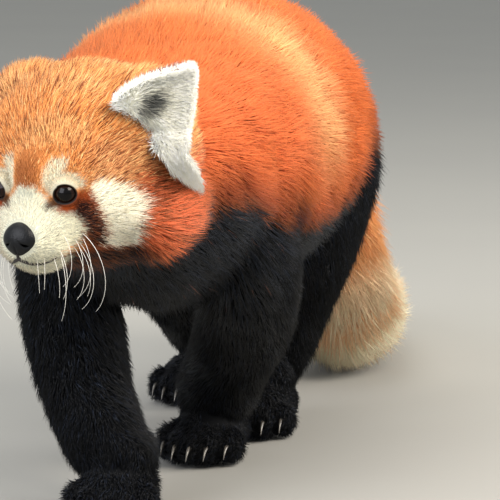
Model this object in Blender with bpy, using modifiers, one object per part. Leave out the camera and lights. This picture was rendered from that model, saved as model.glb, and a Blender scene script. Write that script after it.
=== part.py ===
"""Life-size red panda in mid stride, with its head turned to its right and its tail laid on the floor.

Metres, +Z up. The animal faces -Y and its left side is +X. Each form is the outside of the coat, so the
solids give the outline out to the tips of the hair.
"""

import math
import random
from typing import NamedTuple

import bmesh
import bpy
from mathutils import Matrix, Vector
from mathutils.bvhtree import BVHTree

# Driving dimensions
BACK_HEIGHT = 0.305
TRUNK_WIDTH = 0.204
HEAD_WIDTH = 0.146
EYE_RADIUS = 0.0076
EAR_HEIGHT = 0.044
EAR_WIDTH = 0.052
PAW_WIDTH = 0.058
CLAW_LENGTH = 0.013
TAIL_WIDTH = 0.100
GAP = 0.0003

# Where the head sits, and how it turns on the neck
HEAD_CENTRE = Vector((-0.001, -0.270, 0.221))
HEAD_YAW = math.radians(-17.5)
HEAD_PITCH = math.radians(10)
HEAD = Matrix.Translation(HEAD_CENTRE) @ Matrix.Rotation(HEAD_YAW, 4, "Z") @ Matrix.Rotation(HEAD_PITCH, 4, "X")

# The middle of the animal's footprint, which becomes the origin
FOOTPRINT = Vector((-0.0025, 0.1226, 0.0))

SIDES = {"left": 1, "right": -1}
X_AXIS = Vector((1, 0, 0))
SEED = 12
BLOCK_DEPTH = 0.05
HALF_SPACE = 0.7

ORANGE = (0.62, 0.22, 0.05)
BUFF = (0.66, 0.36, 0.15)
CREAM = (0.74, 0.66, 0.52)
BLACK = (0.012, 0.012, 0.014)
EYE_BROWN = (0.01, 0.005, 0.003)


class Ring(NamedTuple):
    """One cross-section of a lofted form: its centre, half its width and half its depth."""

    x: float
    y: float
    z: float
    side: float
    depth: float


class Paw(NamedTuple):
    """A foot on the floor: the middle of its toes, the way that it points in degrees, and its sole's length."""

    x: float
    y: float
    turn: float
    sole: float


class Coat(NamedTuple):
    """The locks of one stretch of coat: their length, width and thickness, and how far the tips stand off the skin."""

    length: float
    width: float
    thickness: float
    lift: float


# One lock along its length: the share of its length, of its width, and of its lift. Below nothing it is sunk.
LOCK_SHAPE = (
    (-0.12, 0.05, -0.8),
    (0.06, 0.74, -0.15),
    (0.38, 1.00, 0.36),
    (0.70, 0.72, 0.72),
    (1.00, 0.00, 1.00),
)
SUNK = 0.008
CLEAR = 0.0015
MERGED = 0.00001
PROBE = Vector((0.31, 0.17, 0.93)).normalized()
RUFF = Coat(0.036, 0.019, 0.0034, 0.0070)
EAR_FRINGE = Coat(0.021, 0.008, 0.0022, 0.0010)
PELT = Coat(0.080, 0.054, 0.0042, 0.0085)
FEATHERING = Coat(0.036, 0.018, 0.0032, 0.0065)
BRUSH = Coat(0.060, 0.036, 0.0040, 0.0085)
RUFF_LOCKS = 7
RUFF_ROWS = (-0.004, 0.020)
RUFF_ARC = (-8, -78)
BACK_ARC = (math.radians(20), math.radians(160))
EAR_LOCKS = 7

TRUNK_HALF = TRUNK_WIDTH / 2
TRUNK = (
    Ring(-0.004, -0.238, 0.214, 0.010, 0.010),
    Ring(-0.004, -0.228, 0.214, 0.48 * TRUNK_HALF, 0.050),
    Ring(-0.005, -0.190, 0.208, 0.66 * TRUNK_HALF, 0.066),
    Ring(-0.005, -0.145, 0.202, 0.80 * TRUNK_HALF, 0.080),
    Ring(-0.004, -0.090, 0.199, 0.90 * TRUNK_HALF, 0.090),
    Ring(-0.003, -0.025, 0.201, 0.97 * TRUNK_HALF, 0.097),
    Ring(-0.003, 0.050, BACK_HEIGHT - 0.102, 1.00 * TRUNK_HALF, 0.102),
    Ring(-0.003, 0.120, 0.201, 0.98 * TRUNK_HALF, 0.100),
    Ring(-0.003, 0.185, 0.195, 0.87 * TRUNK_HALF, 0.090),
    Ring(-0.001, 0.232, 0.190, 0.66 * TRUNK_HALF, 0.071),
    Ring(0.000, 0.260, 0.188, 0.40 * TRUNK_HALF, 0.046),
    Ring(0.000, 0.272, 0.188, 0.010, 0.010),
)
NECK_SEAM = Vector((0.0, -0.148, 0.200))
NECK_LEAN = Vector((0.06, 1.0, -0.12)).normalized()

TAIL_HALF = TAIL_WIDTH / 2
TAIL = (
    Ring(0.000, 0.215, 0.214, 0.50 * TAIL_HALF, 0.60 * TAIL_HALF),
    Ring(0.004, 0.250, 0.206, 0.68 * TAIL_HALF, 0.72 * TAIL_HALF),
    Ring(0.014, 0.272, 0.180, 0.82 * TAIL_HALF, 0.80 * TAIL_HALF),
    Ring(0.025, 0.275, 0.139, 0.92 * TAIL_HALF, 0.86 * TAIL_HALF),
    Ring(0.034, 0.280, 0.095, 0.98 * TAIL_HALF, 0.90 * TAIL_HALF),
    Ring(0.038, 0.306, 0.057, 1.00 * TAIL_HALF, 0.93 * TAIL_HALF),
    Ring(0.032, 0.360, 0.045, 0.99 * TAIL_HALF, 0.92 * TAIL_HALF),
    Ring(0.020, 0.422, 0.043, 0.94 * TAIL_HALF, 0.88 * TAIL_HALF),
    Ring(0.005, 0.482, 0.039, 0.82 * TAIL_HALF, 0.78 * TAIL_HALF),
    Ring(-0.009, 0.532, 0.030, 0.60 * TAIL_HALF, 0.58 * TAIL_HALF),
    Ring(-0.017, 0.562, 0.020, 0.30 * TAIL_HALF, 0.30 * TAIL_HALF),
    Ring(-0.020, 0.574, 0.015, 0.004, 0.004),
)
# The tail's two seams, each a point on its middle line and the way that the tail runs there
TAIL_SEAMS = (
    (Vector((0.034, 0.282, 0.092)), Vector((0.10, 0.28, -0.95)).normalized()),
    (Vector((0.020, 0.420, 0.043)), Vector((-0.22, 0.97, -0.04)).normalized()),
)

LEGS = {
    "foreleg_left": (
        Ring(0.036, -0.090, 0.245, 0.008, 0.010),
        Ring(0.042, -0.090, 0.225, 0.030, 0.045),
        Ring(0.047, -0.080, 0.182, 0.037, 0.058),
        Ring(0.048, -0.056, 0.138, 0.038, 0.052),
        Ring(0.041, -0.026, 0.100, 0.035, 0.041),
        Ring(0.026, -0.004, 0.066, 0.031, 0.034),
        Ring(0.014, 0.002, 0.040, 0.028, 0.030),
        Ring(0.010, 0.000, 0.024, 0.020, 0.022),
        Ring(0.010, 0.000, 0.016, 0.006, 0.006),
    ),
    "foreleg_right": (
        Ring(-0.044, -0.092, 0.245, 0.008, 0.010),
        Ring(-0.050, -0.094, 0.225, 0.030, 0.045),
        Ring(-0.054, -0.100, 0.182, 0.036, 0.058),
        Ring(-0.053, -0.110, 0.138, 0.036, 0.048),
        Ring(-0.046, -0.124, 0.100, 0.034, 0.040),
        Ring(-0.031, -0.148, 0.064, 0.031, 0.033),
        Ring(-0.014, -0.170, 0.040, 0.028, 0.030),
        Ring(-0.007, -0.180, 0.024, 0.020, 0.022),
        Ring(-0.006, -0.180, 0.016, 0.006, 0.006),
    ),
    "hindleg_left": (
        Ring(0.040, 0.172, 0.245, 0.008, 0.012),
        Ring(0.048, 0.170, 0.225, 0.034, 0.056),
        Ring(0.053, 0.160, 0.182, 0.040, 0.078),
        Ring(0.050, 0.146, 0.138, 0.036, 0.068),
        Ring(0.042, 0.134, 0.102, 0.033, 0.050),
        Ring(0.034, 0.134, 0.068, 0.028, 0.036),
        Ring(0.027, 0.128, 0.044, 0.025, 0.027),
        Ring(0.025, 0.118, 0.030, 0.018, 0.020),
        Ring(0.025, 0.114, 0.020, 0.006, 0.006),
    ),
    "hindleg_right": (
        Ring(-0.044, 0.172, 0.245, 0.008, 0.012),
        Ring(-0.052, 0.170, 0.225, 0.034, 0.056),
        Ring(-0.057, 0.164, 0.182, 0.039, 0.078),
        Ring(-0.056, 0.162, 0.138, 0.036, 0.066),
        Ring(-0.054, 0.172, 0.102, 0.033, 0.050),
        Ring(-0.052, 0.200, 0.070, 0.028, 0.035),
        Ring(-0.050, 0.224, 0.046, 0.025, 0.027),
        Ring(-0.049, 0.222, 0.030, 0.018, 0.020),
        Ring(-0.049, 0.218, 0.020, 0.006, 0.006),
    ),
}
PAWS = {
    "forepaw_left": Paw(0.010, -0.016, -4, 0.052),
    "forepaw_right": Paw(-0.003, -0.197, 2, 0.052),
    "hindpaw_left": Paw(0.024, 0.076, 2, 0.088),
    "hindpaw_right": Paw(-0.046, 0.186, -6, 0.088),
}
TOES = 5

# Places on the head, in its own axes: -Y is the way it looks and +X its left side
SKULL = (
    (0.068, 0.012, 0.008, 0.008),
    (0.060, 0.010, 0.56 * HEAD_WIDTH / 2, 0.036),
    (0.036, 0.006, 0.86 * HEAD_WIDTH / 2, 0.056),
    (0.010, 0.003, 0.96 * HEAD_WIDTH / 2, 0.062),
    (-0.012, 0.000, 0.94 * HEAD_WIDTH / 2, 0.059),
    (-0.030, -0.003, 0.78 * HEAD_WIDTH / 2, 0.049),
    (-0.041, -0.008, 0.57 * HEAD_WIDTH / 2, 0.038),
    (-0.049, -0.016, 0.41 * HEAD_WIDTH / 2, 0.0275),
    (-0.057, -0.0225, 0.32 * HEAD_WIDTH / 2, 0.0215),
    (-0.065, -0.0250, 0.25 * HEAD_WIDTH / 2, 0.0170),
    (-0.0715, -0.0255, 0.16 * HEAD_WIDTH / 2, 0.0110),
    (-0.0745, -0.0255, 0.003, 0.003),
)
EYE_PLACE = Vector((0.0199, -0.0462, 0.0000))
EYE_LOOK = Vector((0.40, -0.90, 0.06)).normalized()
NOSE_PLACE = Vector((0.0, -0.0685, -0.0205))
NOSE_RADII = (0.0096, 0.0074, 0.0094)
EAR_ROOT = Vector((0.0585, -0.0140, 0.0355))
EAR_TOP = Vector((0.0834, 0.0020, 0.0638))
EAR_OUTER = Vector((0.0769, -0.0040, 0.0186))
MOUTH_LINE = 0.0011
MOUTH = (
    Vector((0.0185, -0.0500, -0.0350)),
    Vector((0.0155, -0.0600, -0.0362)),
    Vector((0.0080, -0.0680, -0.0360)),
    Vector((0.0, -0.0712, -0.0330)),
)


def shown(name, mesh, collection="red_panda"):
    """An object for this mesh, in the collection of that name."""
    obj = bpy.data.objects.new(name, mesh)
    home = bpy.data.collections.get(collection)
    if home is None:
        home = bpy.data.collections.new(collection)
        bpy.context.scene.collection.children.link(home)
    home.objects.link(obj)
    return obj


def mesh_of(bm, name="form"):
    """A mesh from a bmesh, with every face pointing out."""
    bmesh.ops.recalc_face_normals(bm, faces=bm.faces)
    mesh = bpy.data.meshes.new(name)
    bm.to_mesh(mesh)
    bm.free()
    return mesh


def applied(obj):
    """The object's mesh with its modifiers in it. The object goes."""
    bpy.context.view_layer.update()
    graph = bpy.context.evaluated_depsgraph_get()
    mesh = bpy.data.meshes.new_from_object(obj.evaluated_get(graph))
    bpy.data.objects.remove(obj)
    return mesh


def smooth_through(stations, count):
    """Rings along a smooth curve through the stations, in equal steps of its parameter."""
    rings = []
    last = len(stations) - 1
    for step in range(count):
        place = step / (count - 1) * last
        at = min(int(place), last - 1)
        share = place - at
        four = [stations[min(max(at + k, 0), last)] for k in (-1, 0, 1, 2)]
        rings.append(
            Ring(
                *(
                    0.5 * (2 * b + (c - a) * share + (2 * a - 5 * b + 4 * c - d) * share**2
                           + (3 * b - a - 3 * c + d) * share**3)
                    for a, b, c, d in zip(*four)
                )
            )
        )
    return rings


def skin_over(rings, sides, across=X_AXIS, level=None):
    """A closed form over the rings, with a pole at each end.

    Its width runs along across, carried from ring to ring. The rings stand square to its middle line, or to level.
    """
    centres = [Vector(ring[:3]) for ring in rings]
    last = len(rings) - 1
    bm = bmesh.new()
    loops = []
    for at in range(1, last):
        along = level or (centres[at + 1] - centres[at - 1]).normalized()
        across = (across - along * along.dot(across)).normalized()
        up = along.cross(across)
        loops.append(
            [
                bm.verts.new(
                    centres[at]
                    + across * rings[at].side * math.cos(math.tau * k / sides)
                    + up * rings[at].depth * math.sin(math.tau * k / sides)
                )
                for k in range(sides)
            ]
        )
    for first, second in zip(loops, loops[1:]):
        for k in range(sides):
            after = (k + 1) % sides
            bm.faces.new((first[k], first[after], second[after], second[k]))
    for loop, centre in ((loops[0], centres[0]), (loops[-1], centres[-1])):
        pole = bm.verts.new(centre)
        for k in range(sides):
            bm.faces.new((loop[k], loop[(k + 1) % sides], pole))
    return mesh_of(bm)


def ellipsoid(centre, radii, matrix=None, rows=12):
    """A squashed sphere as a mesh."""
    bm = bmesh.new()
    bmesh.ops.create_uvsphere(bm, u_segments=2 * rows, v_segments=rows, radius=1)
    bmesh.ops.scale(bm, vec=Vector(radii), verts=bm.verts)
    bmesh.ops.translate(bm, vec=Vector(centre), verts=bm.verts)
    if matrix:
        bmesh.ops.transform(bm, matrix=matrix, verts=bm.verts)
    return mesh_of(bm)


def melted(meshes, voxel, smoothing, triangles):
    """One soft closed form from overlapping ones: voxel remesh, smooth and thin out."""
    bm = bmesh.new()
    for mesh in meshes:
        bm.from_mesh(mesh)
    obj = shown("melted", mesh_of(bm))
    remesh = obj.modifiers.new("remesh", "REMESH")
    remesh.mode = "VOXEL"
    remesh.voxel_size = voxel
    soften = obj.modifiers.new("soften", "SMOOTH")
    soften.factor = 0.5
    soften.iterations = smoothing
    mesh = applied(obj)
    faces = 2 * len(mesh.polygons)
    obj = shown("melted", mesh)
    thin = obj.modifiers.new("thin", "DECIMATE")
    thin.ratio = min(1.0, triangles / faces)
    return largest(applied(obj))


def largest(mesh):
    """The mesh's largest closed surface."""
    bm = bmesh.new()
    bm.from_mesh(mesh)
    unseen = set(bm.faces)
    groups = []
    while unseen:
        front = [unseen.pop()]
        group = list(front)
        while front:
            near = {f for face in front for edge in face.edges for f in edge.link_faces} & unseen
            unseen -= near
            front = list(near)
            group += front
        groups.append(group)
    groups.sort(key=lambda group: sum(face.calc_area() for face in group))
    stray = {vert for group in groups[:-1] for face in group for vert in face.verts}
    bmesh.ops.delete(bm, geom=list(stray), context="VERTS")
    return mesh_of(bm)


def swollen(mesh, by=GAP):
    """A copy of the mesh grown outwards, which leaves that gap when it is cut from a neighbour."""
    bm = bmesh.new()
    bm.from_mesh(mesh)
    bm.normal_update()
    moves = [vert.normal * by * max(vert.calc_shell_factor(), 1.0) for vert in bm.verts]
    for vert, move in zip(bm.verts, moves):
        vert.co += move
    return mesh_of(bm)


def combined(mesh, others, operation):
    """The mesh with all the others joined to it, or cut from it."""
    tools = [shown("tool", other, "tools") for other in others]
    obj = shown("combined", mesh)
    boolean = obj.modifiers.new("combine", "BOOLEAN")
    boolean.operation = operation
    boolean.operand_type = "COLLECTION"
    boolean.collection = bpy.data.collections["tools"]
    boolean.solver = "MANIFOLD"
    result = applied(obj)
    for tool in tools:
        bpy.data.objects.remove(tool)
    return largest(result)


def joined(mesh, others):
    """The mesh with the others fused to it in one union."""
    return combined(mesh, others, "UNION")


def cut(mesh, *others):
    """The mesh with each of the others taken away in turn."""
    for other in others:
        mesh = combined(mesh, [other], "DIFFERENCE")
    return mesh


def tree_of(mesh):
    """What finds the nearest place on a mesh."""
    bm = bmesh.new()
    bm.from_mesh(mesh)
    tree = BVHTree.FromBMesh(bm)
    bm.free()
    return tree


def lock_form(root, lie, face, coat, chance, skin=None):
    """One flat, tapered lock, which follows the skin and lifts towards its tip. Without a skin it runs straight."""
    size = chance.uniform(0.86, 1.12)
    twist = chance.uniform(-0.16, 0.16)
    across = lie.cross(face).normalized()
    lie = (lie + across * twist).normalized()
    rings = []
    for share, breadth, rise in LOCK_SHAPE:
        place = root + lie * coat.length * size * share
        normal = face
        if skin:
            place, normal = skin.find_nearest(place)[:2]
        height = coat.lift * rise if rise > 0 else SUNK * rise
        place = place + normal * height
        rings.append(Ring(*place, coat.width / 2 * breadth, coat.thickness / 2 * max(breadth, 0.2)))
    return skin_over(rings, 4, across)


def inside(tree, point):
    """Whether a point is inside a closed form, by counting how often a line from it meets the form."""
    hits = 0
    place = point
    while True:
        hit = tree.ray_cast(place, PROBE)[0]
        if hit is None:
            return hits % 2 == 1
        hits += 1
        place = hit + PROBE * MERGED


def clear_of(lock, others):
    """Whether a lock is outside the other forms and above the floor, at its corners, edges and faces."""
    corners = [vert.co for vert in lock.vertices]
    places = corners + [(corners[edge.vertices[0]] + corners[edge.vertices[1]]) / 2 for edge in lock.edges]
    places += [face.center for face in lock.polygons]
    for place in places:
        if place.z < CLEAR:
            return False
        for other in others:
            if other.find_nearest(place, CLEAR)[0] is not None or inside(other, place):
                return False
    return True


def rows_of_locks(stations, mesh, coat, rows, around, chance, others=(), span=(0.0, 1.0), arc=(0.0, math.tau)):
    """Staggered rows of locks round a lofted form, lying along it. Those that would meet another form are left out."""
    skin = tree_of(mesh)
    line = smooth_through(stations, 200)
    centres = [Vector(ring[:3]) for ring in line]
    locks = []
    for row in range(rows):
        share = span[0] + (span[1] - span[0]) * (row + 0.5) / rows
        for at_angle in range(around):
            place = share + chance.uniform(-0.010, 0.010)
            at = min(max(int(place * 199), 1), 198)
            along = (centres[at + 1] - centres[at - 1]).normalized()
            across = (X_AXIS - along * along.x).normalized()
            up = along.cross(across)
            turn = arc[0] + (arc[1] - arc[0]) * (at_angle + 0.5 * (row % 2) + chance.uniform(0.1, 0.4)) / around
            spoke = across * math.cos(turn) * line[at].side + up * math.sin(turn) * line[at].depth
            root, face = skin.find_nearest(centres[at] + spoke)[:2]
            lie = (along - face * along.dot(face)).normalized()
            lock = lock_form(root, lie, face, coat, chance, skin)
            if clear_of(lock, others):
                locks.append(lock)
    return locks


def beyond(point, way):
    """A block that fills the space past a plane, which cuts a form off there."""
    place = Matrix.Translation(point) @ way.to_track_quat("Z", "Y").to_matrix().to_4x4()
    bm = bmesh.new()
    bmesh.ops.create_cube(bm, size=HALF_SPACE, matrix=place @ Matrix.Translation((0, 0, HALF_SPACE / 2)))
    return mesh_of(bm)


def parted(mesh, point, way):
    """The form's two lengths before and after a plane, with the gap between them."""
    return cut(mesh, beyond(point, way)), cut(mesh, beyond(point + way * GAP, -way))


def under_floor():
    """A block under the floor, which cuts the flats that the animal stands on."""
    bm = bmesh.new()
    bmesh.ops.create_cube(bm, size=1)
    bmesh.ops.scale(bm, vec=(0.6, 1.4, BLOCK_DEPTH), verts=bm.verts)
    bmesh.ops.translate(bm, vec=(0, FOOTPRINT.y, -BLOCK_DEPTH / 2), verts=bm.verts)
    return mesh_of(bm)


def mirrored(place, side):
    """A place on the head's left, or its mirror image on the right."""
    return Vector((side * place.x, place.y, place.z))


def eye_form(side):
    """One eyeball."""
    return ellipsoid(mirrored(EYE_PLACE, side), [EYE_RADIUS] * 3, HEAD, rows=8)


def lid_form(side):
    """The two lids of one eye: a soft ring round its opening."""
    look = mirrored(EYE_LOOK, side)
    centre = mirrored(EYE_PLACE, side) + look * 0.62 * EYE_RADIUS
    across = look.cross(Vector((0, 0, 1))).normalized()
    up = across.cross(look)
    bm = bmesh.new()
    loops = []
    for step in range(16):
        turn = math.tau * step / 16
        spoke = across * math.cos(turn) * 1.04 + up * math.sin(turn) * 0.88
        middle = centre + spoke * 0.90 * EYE_RADIUS
        loops.append(
            [
                bm.verts.new(
                    middle + 0.0019 * (spoke * math.cos(math.tau * k / 6) + look * math.sin(math.tau * k / 6))
                )
                for k in range(6)
            ]
        )
    for first, second in zip(loops, loops[1:] + loops[:1]):
        for k in range(6):
            after = (k + 1) % 6
            bm.faces.new((first[k], first[after], second[after], second[k]))
    bmesh.ops.transform(bm, matrix=HEAD, verts=bm.verts)
    return mesh_of(bm)


def nose_pad():
    """The bare nose pad before its nostrils."""
    return ellipsoid(NOSE_PLACE, NOSE_RADII, HEAD, rows=7)


def nose_form():
    """The nose pad with a nostril on each side."""
    nostrils = [
        ellipsoid(
            NOSE_PLACE + Vector((side * 0.0046, -0.0062, -0.0014)), (0.0018, 0.0030, 0.0015), HEAD, rows=5
        )
        for side in SIDES.values()
    ]
    return cut(nose_pad(), *nostrils)


def mouth_groove(skull):
    """The line between the lips, from one corner of the mouth to the other, as a thin cutter on the skull's skin."""
    half = [Ring(*point, MOUTH_LINE, MOUTH_LINE) for point in MOUTH]
    other = [Ring(-ring.x, *ring[1:]) for ring in half[-2::-1]]
    skin = tree_of(skull)
    rings = []
    for ring in smooth_through(half + other, 19):
        place = skin.find_nearest(HEAD @ Vector(ring[:3]))[0]
        rings.append(Ring(*place, ring.side, ring.depth))
    return skin_over(rings, 6, Vector((0, 0, 1)))


def head_form():
    """The skull, cheeks, muzzle and chin as one soft form, with lids and the mouth's line."""
    half = HEAD_WIDTH / 2
    skull = skin_over(smooth_through([Ring(0, *ring) for ring in SKULL], 26), 28, level=Vector((0, -1, 0)))
    skull.transform(HEAD)
    pieces = [skull, ellipsoid((0, -0.0480, -0.0390), (0.0150, 0.0180, 0.0085), HEAD)]
    for side in SIDES.values():
        pieces += [
            ellipsoid((side * 0.55 * half, 0.004, -0.019), (0.46 * half, 0.037, 0.036), HEAD),
            ellipsoid((side * 0.0200, -0.0330, 0.0120), (0.0170, 0.0150, 0.0130), HEAD),
            ellipsoid((side * 0.0105, -0.0555, -0.0275), (0.0130, 0.0140, 0.0100), HEAD),
        ]
    skull = melted(pieces, 0.0024, 6, 1200)
    skull = joined(skull, [lid_form(side) for side in SIDES.values()])
    skull = cut(skull, *[swollen(eye_form(side)) for side in SIDES.values()])
    return cut(skull, swollen(nose_pad()), mouth_groove(skull))


def ear_height(share):
    """How far up the ear a share of its grid lies, from below the skin to the tip."""
    return EAR_HEIGHT * (1.22 * share - 0.22)


def ear_breadth(share, outer=True):
    """Half an ear's width at a share of its height, straight on the outer side and round on the inner one."""
    above = max(0.0, ear_height(share) / EAR_HEIGHT)
    straight = (1.0 - 0.96 * above**1.15) ** 0.80
    rounded = (1.0 - 0.96 * above**2.2) ** 0.75
    return 0.5 * EAR_WIDTH * (straight if outer else rounded)


def ear_form(side):
    """One ear: a cupped, pointed leaf of fur with its hollow to the front."""
    root = mirrored(EAR_ROOT, side)
    tall = (mirrored(EAR_TOP, side) - root).normalized()
    wide = mirrored(EAR_OUTER, side) - root
    wide = (wide - tall * wide.dot(tall)).normalized()
    back = wide.cross(tall) * side
    if back.y < 0:
        back.negate()
    bm = bmesh.new()
    bmesh.ops.create_grid(bm, x_segments=8, y_segments=7, size=1)
    for vert in bm.verts:
        share = (vert.co.y + 1) / 2
        across = vert.co.x * ear_breadth(share, vert.co.x > 0)
        hollow = 0.010 * (1 - vert.co.x**2) * (1 - 0.55 * share)
        vert.co = root + tall * ear_height(share) + wide * across + back * hollow
    bmesh.ops.transform(bm, matrix=HEAD, verts=bm.verts)
    leaf = shown("leaf", mesh_of(bm))
    shell = leaf.modifiers.new("shell", "SOLIDIFY")
    shell.thickness = 0.0045
    shell.offset = 0
    return applied(leaf)


def claw_form(tip, frame):
    """One curved claw, which starts in the toe and tapers forward and down."""
    steps = (0.0, 0.3, 0.62, 0.86, 1.0)
    rings = []
    for share in steps:
        radius = 0.0021 * (1 - share) ** 0.7 + 0.0002
        rings.append(
            Ring(
                tip.x, tip.y - CLAW_LENGTH * share, tip.z - 0.0052 * share**2, 0.8 * radius, radius
            )
        )
    claw = skin_over(rings, 5)
    claw.transform(frame)
    return claw


def paw_form(paw):
    """A broad furred foot with five toes and a claw on each, before the floor cuts it flat."""
    frame = Matrix.Translation((paw.x, paw.y, 0)) @ Matrix.Rotation(math.radians(paw.turn), 4, "Z")
    half = PAW_WIDTH / 2
    back = paw.sole / 2
    pieces = [
        ellipsoid((0, back * 0.55, 0.016), (0.86 * half, back + 0.012, 0.021), frame),
        ellipsoid((0, back * 0.90, 0.034), (0.80 * half, 0.030, 0.026), frame),
    ]
    claws = []
    for toe in range(TOES):
        spread = (toe - (TOES - 1) / 2) / ((TOES - 1) / 2)
        centre = Vector((spread * 0.74 * half, 0.013 * spread**2 - 0.018, 0.012))
        pieces.append(ellipsoid(centre, (0.0078, 0.0145, 0.0125), frame))
        claws.append(claw_form(centre + Vector((0, -0.0105, 0.0010)), frame))
    return joined(melted(pieces, 0.0028, 3, 340), claws)


def ruff_locks(skull, chance):
    """The ruff on both cheeks: two rows of locks that sweep back and down from below the ears to the jaw."""
    skin = tree_of(skull)
    turn = HEAD.to_3x3()
    locks = []
    for side in SIDES.values():
        for row, depth in enumerate(RUFF_ROWS):
            for step in range(RUFF_LOCKS):
                share = (step + 0.5 * row) / (RUFF_LOCKS - 0.5)
                angle = math.radians(RUFF_ARC[0] + (RUFF_ARC[1] - RUFF_ARC[0]) * share)
                place = Vector((side * 0.075 * math.cos(angle), depth, -0.004 + 0.065 * math.sin(angle)))
                root, face = skin.find_nearest(HEAD @ place)[:2]
                sweep = turn @ Vector((side * 0.55 * math.cos(angle), 0.80, 0.55 * math.sin(angle) - 0.12))
                lie = (sweep - face * sweep.dot(face)).normalized()
                locks.append(lock_form(root, lie, face, RUFF, chance))
    return locks


def fringe_locks(side, chance):
    """The long white hair along an ear's outer edge, which hangs past its root."""
    root = mirrored(EAR_ROOT, side)
    tall = (mirrored(EAR_TOP, side) - root).normalized()
    wide = mirrored(EAR_OUTER, side) - root
    wide = (wide - tall * wide.dot(tall)).normalized()
    turn = HEAD.to_3x3()
    face = turn @ Vector((0, -1, 0))
    locks = []
    for step in range(EAR_LOCKS):
        share = 0.78 - 0.72 * step / (EAR_LOCKS - 1)
        edge = ear_breadth(share) * 0.86
        place = root + tall * ear_height(share) + wide * edge
        lie = turn @ (wide * (0.75 - 0.35 * share) - tall * (0.95 - 0.35 * share) + Vector((0, -0.10, 0)))
        coat = EAR_FRINGE._replace(length=EAR_FRINGE.length * (1.15 - 0.65 * share))
        locks.append(lock_form(HEAD @ place, lie.normalized(), face, coat, chance))
    return locks


def part_name(name, mesh, colour, roughness=0.85):
    """A node of the model, shaded smooth, with its material."""
    mesh.transform(Matrix.Translation(-FOOTPRINT))
    obj = shown(name, mesh)
    mesh.shade_smooth()
    mesh.set_sharp_from_angle(angle=math.radians(40))
    material = bpy.data.materials.new(name)
    material.use_nodes = True
    shader = material.node_tree.nodes["Principled BSDF"]
    shader.inputs["Base Color"].default_value = (*colour, 1)
    shader.inputs["Roughness"].default_value = roughness
    mesh.materials.append(material)
    return obj


def make_head(chance):
    """Head, ears, eyes and nose. Returns the forms that the neck is cut to, and what the locks keep clear of."""
    skull = head_form()
    ruff = ruff_locks(skull, chance)
    head = joined(skull.copy(), [lock.copy() for lock in ruff])
    part_name("nose", nose_form(), BLACK, 0.45)
    ears = []
    for name, side in SIDES.items():
        part_name(f"eye_{name}", eye_form(side), EYE_BROWN, 0.08)
        ear = joined(ear_form(side), fringe_locks(side, chance))
        ears.append(cut(ear, swollen(skull)))
    trees = [tree_of(form) for form in (head, *ears)]
    for name, ear in zip(SIDES, ears):
        part_name(f"ear_{name}", ear.copy(), CREAM)
    part_name("head", head, BUFF)
    return [skull, *ruff, *ears], trees


def make_body(trunk, front, near, chance):
    """Neck and torso, with locks that run across the seam between them. Returns what the other locks keep clear of."""
    locks = rows_of_locks(TRUNK, trunk, PELT, 5, 7, chance, near, span=(0.20, 0.92))
    whole = joined(trunk.copy(), locks)
    tree = tree_of(whole)
    neck, torso = parted(whole, NECK_SEAM, NECK_LEAN)
    part_name("neck", cut(neck, *[swollen(form) for form in front]), ORANGE)
    part_name("torso", torso, ORANGE)
    return tree


def make_legs(legs, feet, body, chance):
    """The four legs and paws, with long hair down the backs of the legs. Returns what the tail's locks keep clear of."""
    trees = [body]
    for (name, stations), paw_name in zip(LEGS.items(), PAWS):
        others = [body, *[tree_of(form) for form in (*feet.values(), *legs.values()) if form is not legs[name]]]
        locks = rows_of_locks(stations, legs[name], FEATHERING, 2, 4, chance, others, (0.38, 0.60), BACK_ARC)
        leg = joined(legs[name].copy(), locks)
        trees += [tree_of(leg), tree_of(feet[paw_name])]
        part_name(paw_name, feet[paw_name].copy(), BLACK)
        part_name(name, leg, BLACK)
    return trees


def make_tail(tail, others, chance):
    """The tail in three lengths, each with its own locks."""
    base, rest = parted(tail.copy(), *TAIL_SEAMS[0])
    middle, tip = parted(rest, *TAIL_SEAMS[1])
    lengths = {
        "tail_base": (base, 2, (0.16, 0.30)),
        "tail_middle": (middle, 3, (0.41, 0.58)),
        "tail_tip": (tip, 3, (0.66, 0.88)),
    }
    for name, (mesh, rows, span) in lengths.items():
        locks = rows_of_locks(TAIL, tail, BRUSH, rows, 6, chance, others, span)
        part_name(name, joined(mesh, locks), BUFF)


def main():
    """Builds every part of the animal and names it."""
    for obj in list(bpy.data.objects):
        bpy.data.objects.remove(obj)
    chance = random.Random(SEED)
    floor = under_floor()
    trunk = skin_over(smooth_through(TRUNK, 22), 22)
    feet = {name: cut(paw_form(paw), floor) for name, paw in PAWS.items()}
    legs = {
        name: cut(skin_over(smooth_through(stations, 17), 16), swollen(trunk), swollen(feet[paw_name]))
        for (name, stations), paw_name in zip(LEGS.items(), PAWS)
    }
    behind = [form[name] for form, names in ((legs, list(LEGS)[2:]), (feet, list(PAWS)[2:])) for name in names]
    tail = skin_over(smooth_through(TAIL, 28), 14)
    tail = cut(tail, swollen(trunk), floor, *[swollen(form) for form in behind])
    front, near = make_head(chance)
    near += [tree_of(form) for form in (*legs.values(), tail)]
    body = make_body(trunk, front, near, chance)
    make_tail(tail, make_legs(legs, feet, body, chance), chance)


main()
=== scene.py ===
"""Studio scene of a life-size red panda in mid stride, dressed in a mesh coat over one skin.

Metres, +Z up. The animal faces -Y and its left side is +X. Sizes and places are measured from the middle of the
body at the shoulders, and the whole is moved to the frame's origin as each mesh is written.
"""

import logging
import math
from dataclasses import dataclass, field
from enum import Enum

import bpy
import numpy as np
from mathutils import Matrix, Vector
from mathutils.bvhtree import BVHTree

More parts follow.
